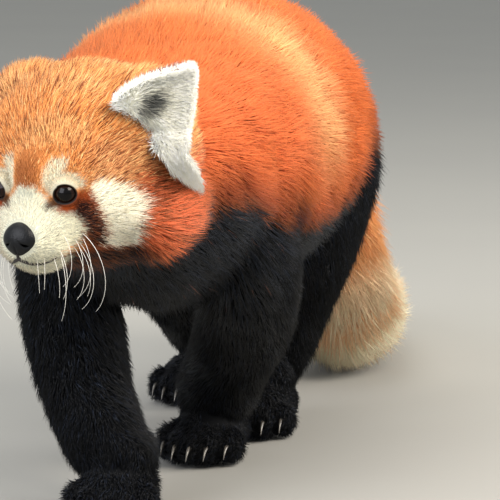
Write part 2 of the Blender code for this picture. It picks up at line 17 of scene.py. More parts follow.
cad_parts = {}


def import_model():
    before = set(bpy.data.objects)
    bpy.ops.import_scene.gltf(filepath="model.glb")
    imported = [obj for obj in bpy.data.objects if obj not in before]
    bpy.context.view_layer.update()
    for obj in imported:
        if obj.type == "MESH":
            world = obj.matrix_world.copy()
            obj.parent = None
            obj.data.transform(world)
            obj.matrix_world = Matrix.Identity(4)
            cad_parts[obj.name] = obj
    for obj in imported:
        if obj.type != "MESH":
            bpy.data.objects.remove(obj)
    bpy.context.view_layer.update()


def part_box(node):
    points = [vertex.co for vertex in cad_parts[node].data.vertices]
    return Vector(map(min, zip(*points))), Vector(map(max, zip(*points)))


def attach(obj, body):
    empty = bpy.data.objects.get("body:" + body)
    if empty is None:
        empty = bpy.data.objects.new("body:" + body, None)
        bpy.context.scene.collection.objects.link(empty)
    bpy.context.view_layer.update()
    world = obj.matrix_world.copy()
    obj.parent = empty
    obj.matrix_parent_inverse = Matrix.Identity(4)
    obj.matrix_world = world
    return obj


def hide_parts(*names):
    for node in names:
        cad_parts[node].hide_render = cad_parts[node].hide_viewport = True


LOG = logging.getLogger("red_panda")

BODY = "root"
MM = 0.001
SEED = 11

# The middle of the animal's footprint, which is the frame's origin
FOOTPRINT = np.array((-0.0025, 0.1226, 0.0))

# Where the head sits, and how it turns on the neck
HEAD_CENTRE = Vector((-0.001, -0.270, 0.221))
HEAD_YAW = math.radians(-17.5)
HEAD_PITCH = math.radians(10)
HEAD_WIDTH = 0.146
TRUNK_HALF = 0.102
TAIL_HALF = 0.050

UV_MAP = "OFBake"
TINT = "coat"
TUFT_PATCH = 0.003
PIECE_TRIANGLES = 190000


class Region(Enum):
    """The stretches of coat, each with a tuft of its own."""

    MUZZLE = "muzzle"
    CROWN = "crown"
    RUFF = "ruff"
    TRUNK = "trunk"
    LEG = "leg"
    PAW = "paw"
    TAIL = "tail"
    EAR = "ear"


def linear(code: str) -> np.ndarray:
    """Turns a colour into what the renderer works in.

    Args:
        code: an sRGB hex value, such as "#E07A38".

    Returns:
        Linear red, green and blue.
    """
    parts = np.array([int(code[at : at + 2], 16) for at in (1, 3, 5)]) / 255
    return np.where(parts <= 0.04045, parts / 12.92, ((parts + 0.055) / 1.055) ** 2.4)


def ramp(value: np.ndarray, low: float, high: float) -> np.ndarray:
    """A soft step from 0 at low to 1 at high."""
    share = np.clip((value - low) / (high - low), 0, 1)
    return share * share * (3 - 2 * share)


def unit(vectors: np.ndarray) -> np.ndarray:
    """Each vector at length one."""
    return vectors / np.maximum(np.linalg.norm(vectors, axis=-1, keepdims=True), 1e-12)


def mixed(first: np.ndarray, second: np.ndarray, share: np.ndarray) -> np.ndarray:
    """Rows of first turned into second by a share of each."""
    return first + (second - first) * share[:, None]


def waves(points: np.ndarray, size: float, seed: int) -> np.ndarray:
    """Smooth noise between about -1 and 1.

    Args:
        points: places as rows.
        size: the width of one swell, in metres.
        seed: picks the pattern.

    Returns:
        One value a place.
    """
    chance = np.random.default_rng(seed)
    total = np.zeros(len(points))
    for _ in range(7):
        way = unit(chance.normal(size=3)) * chance.uniform(0.6, 1.5) * math.pi / size
        total += np.sin(points @ way + chance.uniform(0, math.tau))
    return total / 2.6


def depth_in(points: np.ndarray, outline: tuple[tuple[float, float], ...]) -> np.ndarray:
    """How far inside a flat outline each point is, less than nothing outside it.

    Args:
        points: rows of two coordinates.
        outline: its corners in order, in the same unit.

    Returns:
        One distance a point.
    """
    corners = np.array(outline)
    best = np.full(len(points), 1e9)
    inside = np.zeros(len(points), bool)
    for first, second in zip(corners, np.roll(corners, -1, axis=0)):
        edge = second - first
        along = np.clip(((points - first) @ edge) / (edge @ edge), 0, 1)
        best = np.minimum(best, np.linalg.norm(points - first - along[:, None] * edge, axis=1))
        crosses = (first[1] > points[:, 1]) != (second[1] > points[:, 1])
        with np.errstate(divide="ignore", invalid="ignore"):
            reach = first[0] + (points[:, 1] - first[1]) * edge[0] / edge[1]
        inside ^= crosses & (points[:, 0] < reach)
    return np.where(inside, best, -best)


@dataclass(frozen=True)
class Shape:
    """A mesh as arrays: corners, triangles, and the colour and unwrap place of each corner, where it has them."""

    points: np.ndarray
    triangles: np.ndarray
    tint: np.ndarray | None = None
    unwrap: np.ndarray | None = None

    def joined(self, other: "Shape") -> "Shape":
        """This shape and another as one, without their colours."""
        triangles = np.vstack([self.triangles, other.triangles + len(self.points)])
        return Shape(np.vstack([self.points, other.points]), triangles)

    def outward(self) -> "Shape":
        """This closed shape with its faces turned outwards."""
        first, second, third = (self.points[self.triangles[:, k]] for k in range(3))
        if (first * np.cross(second, third)).sum() >= 0:
            return self
        return Shape(self.points, self.triangles[:, ::-1], self.tint, self.unwrap)

    def mesh(self, name: str, smooth: bool = True) -> bpy.types.Mesh:
        """Writes the shape as a mesh, still where the sizes put it.

        Args:
            name: the mesh's name.
            smooth: whether it is shaded smooth.

        Returns:
            The mesh.
        """
        mesh = bpy.data.meshes.new(name)
        mesh.vertices.add(len(self.points))
        mesh.vertices.foreach_set("co", np.ascontiguousarray(self.points, np.float32).ravel())
        mesh.loops.add(3 * len(self.triangles))
        mesh.loops.foreach_set("vertex_index", np.ascontiguousarray(self.triangles, np.int32).ravel())
        mesh.polygons.add(len(self.triangles))
        mesh.polygons.foreach_set("loop_start", np.arange(0, 3 * len(self.triangles), 3, dtype=np.int32))
        if self.tint is not None:
            layer = mesh.color_attributes.new(TINT, "FLOAT_COLOR", "POINT")
            rgba = np.ones((len(self.points), 4), np.float32)
            rgba[:, :3] = self.tint
            layer.data.foreach_set("color", rgba.ravel())
        if self.unwrap is not None:
            layer = mesh.uv_layers.new(name=UV_MAP)
            layer.data.foreach_set("uv", np.ascontiguousarray(self.unwrap[self.triangles], np.float32).ravel())
        mesh.update(calc_edges=True)
        mesh.validate()
        mesh.polygons.foreach_set("use_smooth", np.full(len(self.triangles), smooth))
        return mesh


def shape_of(mesh: bpy.types.Mesh) -> tuple[Shape, np.ndarray]:
    """Reads a mesh back as arrays.

    Args:
        mesh: any mesh.

    Returns:
        Its shape, and the normal at each corner.
    """
    points = np.empty(3 * len(mesh.vertices), np.float32)
    mesh.vertices.foreach_get("co", points)
    normals = np.empty(3 * len(mesh.vertices), np.float32)
    mesh.vertex_normals.foreach_get("vector", normals)
    mesh.calc_loop_triangles()
    triangles = np.empty(3 * len(mesh.loop_triangles), np.int32)
    mesh.loop_triangles.foreach_get("vertices", triangles)
    return Shape(points.reshape(-1, 3).astype(float), triangles.reshape(-1, 3)), normals.reshape(-1, 3).astype(float)


def node(
    tree: bpy.types.NodeTree, kind: str, inputs: dict[str | int, object] | None = None, **settings: object
) -> bpy.types.Node:
    """Adds a node to a tree.

    Args:
        tree: where it goes.
        kind: the node's type name.
        inputs: what each input is set to, or the output socket that is linked to it.
        **settings: the node's own settings.

    Returns:
        The node.
    """
    made = tree.nodes.new(kind)
    for name, value in settings.items():
        setattr(made, name, value)
    for name, value in (inputs or {}).items():
        if isinstance(value, bpy.types.NodeSocket):
            tree.links.new(value, made.inputs[name])
        else:
            made.inputs[name].default_value = value
    return made


@dataclass(frozen=True)
class Finish:
    """A surface, and what it shows. Its name is the material's."""

    name: str
    slot: str

    def material(self) -> bpy.types.Material:
        """The material, made once."""
        found = bpy.data.materials.get(self.name)
        if found:
            return found
        made = bpy.data.materials.new(self.name)
        made.use_nodes = True
        tree = made.node_tree
        tree.nodes.clear()
        shader = node(tree, "ShaderNodeBsdfPrincipled")
        node(tree, "ShaderNodeOutputMaterial", {"Surface": shader.outputs["BSDF"]})
        self.dress(tree, shader)
        return made

    def dress(self, tree: bpy.types.NodeTree, shader: bpy.types.Node) -> None:
        """Sets the shader's sockets and adds the nodes that feed them."""


@dataclass(frozen=True)
class HairFinish(Finish):
    """Mammal hair, which grew. Each hair is a smooth scaly tube, so a lay of them shines softly along its edge."""

    rough: float = 0.60
    shine: float = 0.30
    sheen: float = 0.16
    sheen_tint: str = "#FF9E58"
    grain_mm: float = 1.6
    grain_depth: float = 0.16

    def dress(self, tree: bpy.types.NodeTree, shader: bpy.types.Node) -> None:
        """The coat's markings with the painted shade and highlights that its tufts carry, and hairs a little lighter
        and darker than their neighbours.
        """
        tint = node(tree, "ShaderNodeAttribute", attribute_name=TINT)
        place = node(tree, "ShaderNodeTexCoord")
        noise = node(
            tree,
            "ShaderNodeTexNoise",
            {"Vector": place.outputs["Object"], "Scale": 1 / (self.grain_mm * MM), "Detail": 2.0},
        )
        spread = node(
            tree,
            "ShaderNodeMapRange",
            {"Value": noise.outputs["Fac"], "To Min": 1 - self.grain_depth, "To Max": 1 + self.grain_depth},
        )
        shade = node(
            tree,
            "ShaderNodeVectorMath",
            {0: tint.outputs["Color"], "Scale": spread.outputs["Result"]},
            operation="SCALE",
        )
        tree.links.new(shade.outputs["Vector"], shader.inputs["Base Color"])
        shader.inputs["Roughness"].default_value = self.rough
        shader.inputs["Specular IOR Level"].default_value = self.shine
        shader.inputs["Sheen Weight"].default_value = self.sheen
        shader.inputs["Sheen Roughness"].default_value = 0.45
        shader.inputs["Sheen Tint"].default_value = (*linear(self.sheen_tint), 1)


@dataclass(frozen=True)
class PlainFinish(Finish):
    """A surface of one colour, with a fine bump and small drifts of shade."""

    colour: str = "#808080"
    drift: str = "#707070"
    rough: float = 0.5
    coat: float = 0.0
    grain_mm: float = 1.0
    bump_mm: float = 0.05
    pebbled: bool = False
    shine: float = 0.5
    # The name of an attribute that is 1 inside a nostril, where painted shade turns the colour to black and takes the
    # shine away
    painted_pit_shade: str = ""

    def dress(self, tree: bpy.types.NodeTree, shader: bpy.types.Node) -> None:
        """The colour drifts between two shades, with painted shade down to black in the nostrils where there are any,
        and the bump is noise or close pebbles.
        """
        place = node(tree, "ShaderNodeTexCoord")
        slow = node(
            tree,
            "ShaderNodeTexNoise",
            {"Vector": place.outputs["Object"], "Scale": 0.25 / (self.grain_mm * MM), "Detail": 3.0},
        )
        shade = node(tree, "ShaderNodeMix", {"Factor": slow.outputs["Fac"]}, data_type="RGBA")
        shade.inputs[6].default_value = (*linear(self.colour), 1)
        shade.inputs[7].default_value = (*linear(self.drift), 1)
        # Painted shade: the colour goes to black inside the nostrils and their shine is taken away
        if self.painted_pit_shade:
            pit = node(tree, "ShaderNodeAttribute", attribute_name=self.painted_pit_shade)
            shade = node(tree, "ShaderNodeMix", {0: pit.outputs["Fac"], 6: shade.outputs[2]}, data_type="RGBA")
            shade.inputs[7].default_value = (0, 0, 0, 1)
            node_shine = node(tree, "ShaderNodeMapRange", {"Value": pit.outputs["Fac"], "To Min": self.shine, "To Max": 0.0})
        tree.links.new(shade.outputs[2], shader.inputs["Base Color"])
        kind = "ShaderNodeTexVoronoi" if self.pebbled else "ShaderNodeTexNoise"
        fine = node(tree, kind, {"Vector": place.outputs["Object"], "Scale": 1 / (self.grain_mm * MM)})
        bump = node(
            tree,
            "ShaderNodeBump",
            {"Height": fine.outputs["Distance" if self.pebbled else "Fac"], "Distance": self.bump_mm * MM},
            invert=self.pebbled,
        )
        tree.links.new(bump.outputs["Normal"], shader.inputs["Normal"])
        shader.inputs["Roughness"].default_value = self.rough
        shader.inputs["Specular IOR Level"].default_value = self.shine
        if self.painted_pit_shade:
            tree.links.new(node_shine.outputs["Result"], shader.inputs["Specular IOR Level"])
        shader.inputs["Coat Weight"].default_value = self.coat
        shader.inputs["Coat Roughness"].default_value = 0.06


@dataclass(frozen=True)
class EyeFinish(Finish):
    """A wet eyeball: a black pupil in a dark brown iris under a clear cornea, which the tear film makes a mirror."""

    pupil: str = "#030202"
    iris: str = "#1E0C05"
    rim: str = "#050302"
    pupil_share: float = 0.46
    iris_share: float = 0.80

    def dress(self, tree: bpy.types.NodeTree, shader: bpy.types.Node) -> None:
        """The rings follow the share of the way out from the eye's middle, which each corner carries."""
        ring = node(tree, "ShaderNodeAttribute", attribute_name="ring")
        stops = node(tree, "ShaderNodeValToRGB", {"Fac": ring.outputs["Fac"]})
        colours = stops.color_ramp
        colours.elements[0].position = self.pupil_share
        colours.elements[0].color = (*linear(self.pupil), 1)
        colours.elements[1].position = self.pupil_share + 0.10
        colours.elements[1].color = (*linear(self.iris), 1)
        last = colours.elements.new(self.iris_share)
        last.color = (*linear(self.rim), 1)
        tree.links.new(stops.outputs["Color"], shader.inputs["Base Color"])
        shader.inputs["Roughness"].default_value = 0.25
        shader.inputs["Specular IOR Level"].default_value = 0.06
        shader.inputs["Coat Weight"].default_value = 0.24
        shader.inputs["Coat Roughness"].default_value = 0.02


UNDER_HAIR = HairFinish("skin under the coat", "body_fur", rough=0.8, shine=0.1, sheen=0.0)
BODY_HAIR = HairFinish("dense body fur", "body_fur")
FACE_HAIR = HairFinish("short face fur", "face_fur", sheen=0.10)
EAR_HAIR = HairFinish("white ear fur", "ear_fur", sheen=0.10, sheen_tint="#FFFFFF")
LEG_HAIR = HairFinish("black leg fur", "leg_fur", rough=0.5, shine=0.26, sheen=0.0, sheen_tint="#7F93B4")
TAIL_HAIR = HairFinish("long tail fur", "tail_fur", sheen=0.14, sheen_tint="#FFDDB0")
# The nose leather's nostrils are painted black as shade
NOSE_LEATHER = PlainFinish(
    "bare nose leather", "nose_leather", "#030406", "#06080C", rough=0.42, grain_mm=0.75, bump_mm=0.10, pebbled=True,
    shine=0.24, painted_pit_shade="pit",
)
LIP_SKIN = PlainFinish("dark lip skin", "nose_leather", "#120C0B", "#1D1412", rough=0.5, grain_mm=0.6, bump_mm=0.05)
CLAW_HORN = PlainFinish("grey claw horn", "claw", "#6F6B64", "#46423C", rough=0.3, coat=0.5, grain_mm=0.8, bump_mm=0.03)
BRISTLE = PlainFinish("white whisker bristle", "whisker", "#F4F2EA", "#DAD6CA", rough=0.35, grain_mm=1.0, bump_mm=0.0)
EYE = EyeFinish("wet dark brown eye", "eye")


@dataclass(frozen=True)
class Loft:
    """A form round a middle line. A station is x, y, z, half its width and half its depth."""

    stations: tuple[tuple[float, float, float, float, float], ...]
    coat: float | tuple[float, ...]
    count: int = 28
    sides: int = 28
    upright: bool = False

    def rings(self) -> np.ndarray:
        """Rings on a smooth curve through the stations, with the coat's depth as a sixth column."""
        depth = np.broadcast_to(self.coat, len(self.stations))
        knots = np.column_stack([self.stations, depth])
        place = np.linspace(0, len(knots) - 1, self.count)
        at = np.minimum(place.astype(int), len(knots) - 2)
        share = (place - at)[:, None]
        a, b, c, d = (knots[np.clip(at + k, 0, len(knots) - 1)] for k in (-1, 0, 1, 2))
        return 0.5 * (
            2 * b + (c - a) * share + (2 * a - 5 * b + 4 * c - d) * share**2 + (3 * b - a - 3 * c + d) * share**3
        )

    def ways(self, rings: np.ndarray) -> np.ndarray:
        """The way that the middle line runs at each ring."""
        return unit(np.gradient(rings[:, :3], axis=0))

    def skin(self) -> Shape:
        """The form without its coat, closed at both ends."""
        rings = self.rings()
        ways = self.ways(rings)
        if self.upright:
            ways = np.broadcast_to((0.0, -1.0, 0.0), ways.shape)
        across = np.array((1.0, 0.0, 0.0))
        turn = np.linspace(0, math.tau, self.sides, endpoint=False)
        rows = []
        for ring, way in zip(rings[1:-1], ways[1:-1]):
            across = unit(across - way * (way @ across))
            up = np.cross(way, across)
            side = max(ring[3] - ring[5], 0.002)
            deep = max(ring[4] - ring[5], 0.002)
            rows.append(ring[:3] + np.outer(np.cos(turn) * side, across) + np.outer(np.sin(turn) * deep, up))
        ends = [rings[0, :3] + ways[0] * rings[0, 5], rings[-1, :3] - ways[-1] * rings[-1, 5]]
        if self.upright:
            ends = [rings[0, :3] + (0, -rings[0, 5], 0), rings[-1, :3] + (0, rings[-1, 5], 0)]
        points = np.vstack([*rows, *ends])
        triangles = []
        for row in range(len(rows) - 1):
            for k in range(self.sides):
                a, b = row * self.sides + k, row * self.sides + (k + 1) % self.sides
                triangles += [(a, b, b + self.sides), (a, b + self.sides, a + self.sides)]
        for start, pole in ((0, len(points) - 2), ((len(rows) - 1) * self.sides, len(points) - 1)):
            for k in range(self.sides):
                triangles.append((start + k, start + (k + 1) % self.sides, pole))
        return Shape(points, np.array(triangles))


def ball(centre: tuple[float, float, float], radii: tuple[float, float, float], rows: int = 14) -> Shape:
    """A squashed ball.

    Args:
        centre: its middle.
        radii: its half sizes along each axis.
        rows: how many bands it has.

    Returns:
        The shape.
    """
    around = 2 * rows
    tilt = np.linspace(0, math.pi, rows + 1)[1:-1, None]
    turn = np.linspace(0, math.tau, around, endpoint=False)[None]
    grid = np.stack([np.sin(tilt) * np.cos(turn), np.sin(tilt) * np.sin(turn), np.cos(tilt) + 0 * turn], axis=-1)
    points = np.vstack([grid.reshape(-1, 3), (0, 0, 1), (0, 0, -1)])
    triangles = []
    for row in range(rows - 2):
        for k in range(around):
            a, b = row * around + k, row * around + (k + 1) % around
            triangles += [(a, a + around, b + around), (a, b + around, b)]
    last = (rows - 2) * around
    for k in range(around):
        triangles.append((k, (k + 1) % around, len(points) - 2))
        triangles.append((last + (k + 1) % around, last + k, len(points) - 1))
    return Shape(points * radii + centre, np.array(triangles))


TURN = Matrix.Translation(HEAD_CENTRE) @ Matrix.Rotation(HEAD_YAW, 4, "Z") @ Matrix.Rotation(HEAD_PITCH, 4, "X")
HEAD_TURN = np.array(TURN.to_3x3())
HEAD_MIDDLE = np.array(HEAD_CENTRE)


def on_head(points: np.ndarray) -> np.ndarray:
    """Places in the head's own axes, put where the head is."""
    return points @ HEAD_TURN.T + HEAD_MIDDLE


def from_head(points: np.ndarray) -> np.ndarray:
    """Places in the room, in the head's own axes."""
    return (points - HEAD_MIDDLE) @ HEAD_TURN


@dataclass
class Forms:
    """Every form of flesh, from which the skin is made and by which the coat lies."""

    trunk: Loft = Loft(
        (
            (-0.004, -0.238, 0.214, 0.010, 0.010),
            (-0.004, -0.228, 0.214, 0.48 * TRUNK_HALF, 0.050),
            (-0.005, -0.190, 0.208, 0.66 * TRUNK_HALF, 0.066),
            (-0.005, -0.145, 0.202, 0.80 * TRUNK_HALF, 0.080),
            (-0.004, -0.090, 0.199, 0.90 * TRUNK_HALF, 0.090),
            (-0.003, -0.025, 0.201, 0.97 * TRUNK_HALF, 0.097),
            (-0.003, 0.050, 0.203, 1.00 * TRUNK_HALF, 0.102),
            (-0.003, 0.120, 0.201, 0.98 * TRUNK_HALF, 0.100),
            (-0.003, 0.185, 0.195, 0.87 * TRUNK_HALF, 0.090),
            (-0.001, 0.232, 0.190, 0.66 * TRUNK_HALF, 0.071),
            (0.000, 0.260, 0.188, 0.40 * TRUNK_HALF, 0.046),
            (0.000, 0.272, 0.188, 0.010, 0.010),
        ),
        0.0085,
        40,
        40,
    )
    tail: Loft = Loft(
        (
            (0.000, 0.215, 0.214, 0.50 * TAIL_HALF, 0.60 * TAIL_HALF),
            (0.004, 0.250, 0.206, 0.68 * TAIL_HALF, 0.72 * TAIL_HALF),
            (0.014, 0.272, 0.180, 0.82 * TAIL_HALF, 0.80 * TAIL_HALF),
            (0.025, 0.275, 0.139, 0.92 * TAIL_HALF, 0.86 * TAIL_HALF),
            (0.034, 0.280, 0.095, 0.98 * TAIL_HALF, 0.90 * TAIL_HALF),
            (0.038, 0.306, 0.057, 1.00 * TAIL_HALF, 0.93 * TAIL_HALF),
            (0.032, 0.360, 0.045, 0.99 * TAIL_HALF, 0.92 * TAIL_HALF),
            (0.020, 0.422, 0.043, 0.94 * TAIL_HALF, 0.88 * TAIL_HALF),
            (0.005, 0.482, 0.039, 0.82 * TAIL_HALF, 0.78 * TAIL_HALF),
            (-0.009, 0.532, 0.030, 0.60 * TAIL_HALF, 0.58 * TAIL_HALF),
            (-0.017, 0.562, 0.020, 0.30 * TAIL_HALF, 0.30 * TAIL_HALF),
            (-0.020, 0.574, 0.015, 0.004, 0.004),
        ),
        (0.008, 0.010, 0.012, 0.013, 0.013, 0.013, 0.013, 0.013, 0.012, 0.010, 0.006, 0.003),
        44,
        24,
    )
    legs: dict[str, Loft] = field(
        default_factory=lambda: {
            "foreleg_left": Loft(
                (
                    (0.036, -0.090, 0.245, 0.008, 0.010),
                    (0.042, -0.090, 0.225, 0.030, 0.045),
                    (0.047, -0.080, 0.182, 0.037, 0.058),
                    (0.048, -0.056, 0.138, 0.038, 0.052),
                    (0.041, -0.026, 0.100, 0.035, 0.041),
                    (0.026, -0.004, 0.066, 0.031, 0.034),
                    (0.014, 0.002, 0.040, 0.028, 0.030),
                    (0.010, 0.000, 0.024, 0.020, 0.022),
                ),
                (0.001, 0.006, 0.006, 0.006, 0.0055, 0.005, 0.004, 0.003),
            ),
            "foreleg_right": Loft(
                (
                    (-0.044, -0.092, 0.245, 0.008, 0.010),
                    (-0.050, -0.094, 0.225, 0.030, 0.045),
                    (-0.054, -0.100, 0.182, 0.036, 0.058),
                    (-0.053, -0.110, 0.138, 0.036, 0.048),
                    (-0.046, -0.124, 0.100, 0.034, 0.040),
                    (-0.031, -0.148, 0.064, 0.031, 0.033),
                    (-0.014, -0.170, 0.040, 0.028, 0.030),
                    (-0.007, -0.180, 0.024, 0.020, 0.022),
                ),
                (0.001, 0.006, 0.006, 0.006, 0.0055, 0.005, 0.004, 0.003),
            ),
            "hindleg_left": Loft(
                (
                    (0.040, 0.172, 0.245, 0.008, 0.012),
                    (0.048, 0.170, 0.225, 0.034, 0.056),
                    (0.053, 0.160, 0.182, 0.040, 0.078),
                    (0.050, 0.146, 0.138, 0.036, 0.068),
                    (0.042, 0.134, 0.102, 0.033, 0.050),
                    (0.034, 0.134, 0.068, 0.028, 0.036),
                    (0.027, 0.128, 0.044, 0.025, 0.027),
                    (0.025, 0.118, 0.030, 0.018, 0.020),
                ),
                (0.001, 0.007, 0.007, 0.006, 0.0055, 0.005, 0.004, 0.003),
            ),
            "hindleg_right": Loft(
                (
                    (-0.044, 0.172, 0.245, 0.008, 0.012),
                    (-0.052, 0.170, 0.225, 0.034, 0.056),
                    (-0.057, 0.164, 0.182, 0.039, 0.078),
                    (-0.056, 0.162, 0.138, 0.036, 0.066),
                    (-0.054, 0.172, 0.102, 0.033, 0.050),
                    (-0.052, 0.200, 0.070, 0.028, 0.035),
                    (-0.050, 0.224, 0.046, 0.025, 0.027),
                    (-0.049, 0.222, 0.030, 0.018, 0.020),
                ),
                (0.001, 0.007, 0.007, 0.006, 0.0055, 0.005, 0.004, 0.003),
            ),
        }
    )
    # Each foot: the middle of its toes, the way that it points in degrees, and its sole's length
    paws: dict[str, tuple[float, float, float, float]] = field(
        default_factory=lambda: {
            "forepaw_left": (0.010, -0.016, -4, 0.052),
            "forepaw_right": (-0.003, -0.197, 2, 0.052),
            "hindpaw_left": (0.024, 0.076, 2, 0.088),
            "hindpaw_right": (-0.046, 0.186, -6, 0.088),
        }
    )
    skull: Loft = Loft(
        (
            (0, 0.068, 0.012, 0.008, 0.008),
            (0, 0.060, 0.008, 0.56 * HEAD_WIDTH / 2, 0.034),
            (0, 0.036, 0.0045, 0.86 * HEAD_WIDTH / 2, 0.053),
            (0, 0.010, 0.0025, 0.96 * HEAD_WIDTH / 2, 0.060),
            (0, -0.012, -0.001, 0.94 * HEAD_WIDTH / 2, 0.058),
            (0, -0.030, -0.003, 0.78 * HEAD_WIDTH / 2, 0.049),
            (0, -0.041, -0.008, 0.57 * HEAD_WIDTH / 2, 0.038),
            (0, -0.049, -0.016, 0.41 * HEAD_WIDTH / 2, 0.0275),
            (0, -0.057, -0.0225, 0.32 * HEAD_WIDTH / 2, 0.0215),
            (0, -0.0635, -0.0258, 0.25 * HEAD_WIDTH / 2, 0.0170),
            (0, -0.0693, -0.0265, 0.16 * HEAD_WIDTH / 2, 0.0110),
            (0, -0.0723, -0.0265, 0.003, 0.003),
        ),
        (0.006, 0.007, 0.007, 0.0065, 0.0055, 0.0042, 0.0030, 0.0022, 0.0016, 0.0013, 0.0010, 0.0010),
        40,
        40,
        upright=True,
    )
    paw_width: float = 0.058
    toes: int = 5
    sole_height: float = 0.0015
    voxel: float = 0.0027
    smoothing: int = 6

    def paw_frame(self, name: str) -> Matrix:
        """Where a paw stands and the way that it points."""
        x, y, turn, _ = self.paws[name]
        return Matrix.Translation((x, y, 0)) @ Matrix.Rotation(math.radians(turn), 4, "Z")

    def toe(self, index: int) -> np.ndarray:
        """The middle of a toe, in its paw's own axes."""
        spread = (index - (self.toes - 1) / 2) / ((self.toes - 1) / 2)
        return np.array((spread * 0.37 * self.paw_width, 0.013 * spread**2 - 0.018, 0.012))

    def paw(self, name: str) -> Shape:
        """One foot without its coat, flat under the sole."""
        half = self.paw_width / 2
        back = self.paws[name][3] / 2
        shape = ball((0, back * 0.55, 0.016), (0.86 * half - 0.002, back + 0.010, 0.019))
        shape = shape.joined(ball((0, back * 0.90, 0.034), (0.80 * half - 0.003, 0.027, 0.023)))
        for index in range(self.toes):
            shape = shape.joined(ball(tuple(self.toe(index)), (0.0066, 0.0132, 0.0112), 10))
        matrix = np.array(self.paw_frame(name))
        points = shape.points @ matrix[:3, :3].T + matrix[:3, 3]
        points[:, 2] = np.maximum(points[:, 2], self.sole_height)
        return Shape(points, shape.triangles)

    def head(self) -> Shape:
        """Skull, cheeks, brows, lips and chin without their coat."""
        half = HEAD_WIDTH / 2
        shape = self.skull.skin().joined(ball((0, -0.0458, -0.0400), (0.0135, 0.0168, 0.0072)))
        shape = shape.joined(ball((0, -0.0360, 0.0040), (0.0190, 0.0215, 0.0240)))
        for side in (1, -1):
            shape = shape.joined(ball((side * 0.55 * half, 0.004, -0.019), (0.46 * half - 0.005, 0.032, 0.031)))
            shape = shape.joined(ball((side * 0.0360, 0.0160, 0.0290), (0.0260, 0.0260, 0.0250)))
            shape = shape.joined(ball((side * 0.0200, -0.0330, 0.0120), (0.0145, 0.0126, 0.0108)))
            shape = shape.joined(ball((side * 0.0107, -0.0535, -0.0285), (0.0123, 0.0131, 0.0091)))
        return Shape(on_head(shape.points), shape.triangles)

    def skin(self) -> tuple[Shape, np.ndarray]:
        """All the flesh melted into one closed skin, and its normals."""
        shape = self.trunk.skin().joined(self.tail.skin()).joined(self.head())
        for leg in self.legs.values():
            shape = shape.joined(leg.skin())
        for name in self.paws:
            shape = shape.joined(self.paw(name))
        obj = bpy.data.objects.new("melted", shape.mesh("melted"))
        bpy.context.scene.collection.objects.link(obj)
        remesh = obj.modifiers.new("remesh", "REMESH")
        remesh.mode = "VOXEL"
        remesh.voxel_size = self.voxel
        soften = obj.modifiers.new("soften", "SMOOTH")
        soften.factor = 0.5
        soften.iterations = self.smoothing
        bpy.context.view_layer.update()
        mesh = bpy.data.meshes.new_from_object(obj.evaluated_get(bpy.context.evaluated_depsgraph_get()))
        bpy.data.objects.remove(obj)
        made, _ = shape_of(mesh)
        made.points[:, 2] = np.maximum(made.points[:, 2], self.sole_height)
        flat = Shape(made.points, made.triangles).mesh("skin")
        return shape_of(flat)


@dataclass
class Head:
    """Places on the head, in its own axes: -Y is the way it looks and +X its left side."""

    eye: tuple[float, float, float] = (0.0199, -0.0462, 0.0000)
    eye_look: tuple[float, float, float] = (0.40, -0.90, 0.06)
    eye_radius: float = 0.0076
    nose: tuple[float, float, float] = (0.0, -0.0657, -0.0234)
    nose_radii: tuple[float, float, float] = (0.0112, 0.0081, 0.0104)
    # The mouth's line across and up, from the middle to a corner
    mouth: tuple[tuple[float, float], ...] = (
        (0.0000, -0.0330),
        (0.0030, -0.0347),
        (0.0070, -0.0366),
        (0.0110, -0.0371),
        (0.0150, -0.0360),
        (0.0180, -0.0340),
    )
    reach: tuple[float, float, float] = (0.073, 0.0715, 0.060)


# Outlines of the face's markings on its left, in millimetres across and up from the middle of the head
MUZZLE_WHITE = ((-3, 4), (5, 5), (11, -1), (15, -6), (20, -9), (26, -11), (29.5, -15), (31, -21), (28, -28), (20, -35),
                (13, -38), (-3, -46))
BROW_WHITE = ((9.5, 5), (9.8, 12), (11.5, 17.5), (15.5, 20), (21.5, 19), (21.5, 14.5), (18.5, 11.5), (23, 11.5),
              (28, 9.5), (32, 5.5), (30, 2.5), (20, 4), (14.5, -1), (12, 1))
CHEEK_WHITE = ((35, 4), (39, 7), (47, 6.0), (54, 1.5), (59.5, -5), (60.5, -11), (58, -20), (55, -29), (50, -37),
               (40, -37.5), (35, -34), (39.5, -26), (40, -16), (38, -7), (35, -1))
TEAR_RUST = ((20, -4), (29, 1), (33, 1.5), (37, -5), (40, -15), (39.5, -26), (35.5, -35), (26, -36), (31, -24),
             (29.5, -16), (25, -11), (15, -7))
TEAR_DARK = ((28, -3.5), (34, -5), (38.5, -12), (39.5, -22), (37, -33), (28, -34.5), (30.5, -26), (29.5, -17), (25.5, -10))
EYE_CORNER = ((10.5, -5.5), (13, -7.5), (18, -7.0), (22, -5), (16.5, 0.0))
CHIN_WHITE = ((-3, -34), (8, -36.5), (15, -36), (19, -39), (15, -46), (8, -49), (-3, -49))


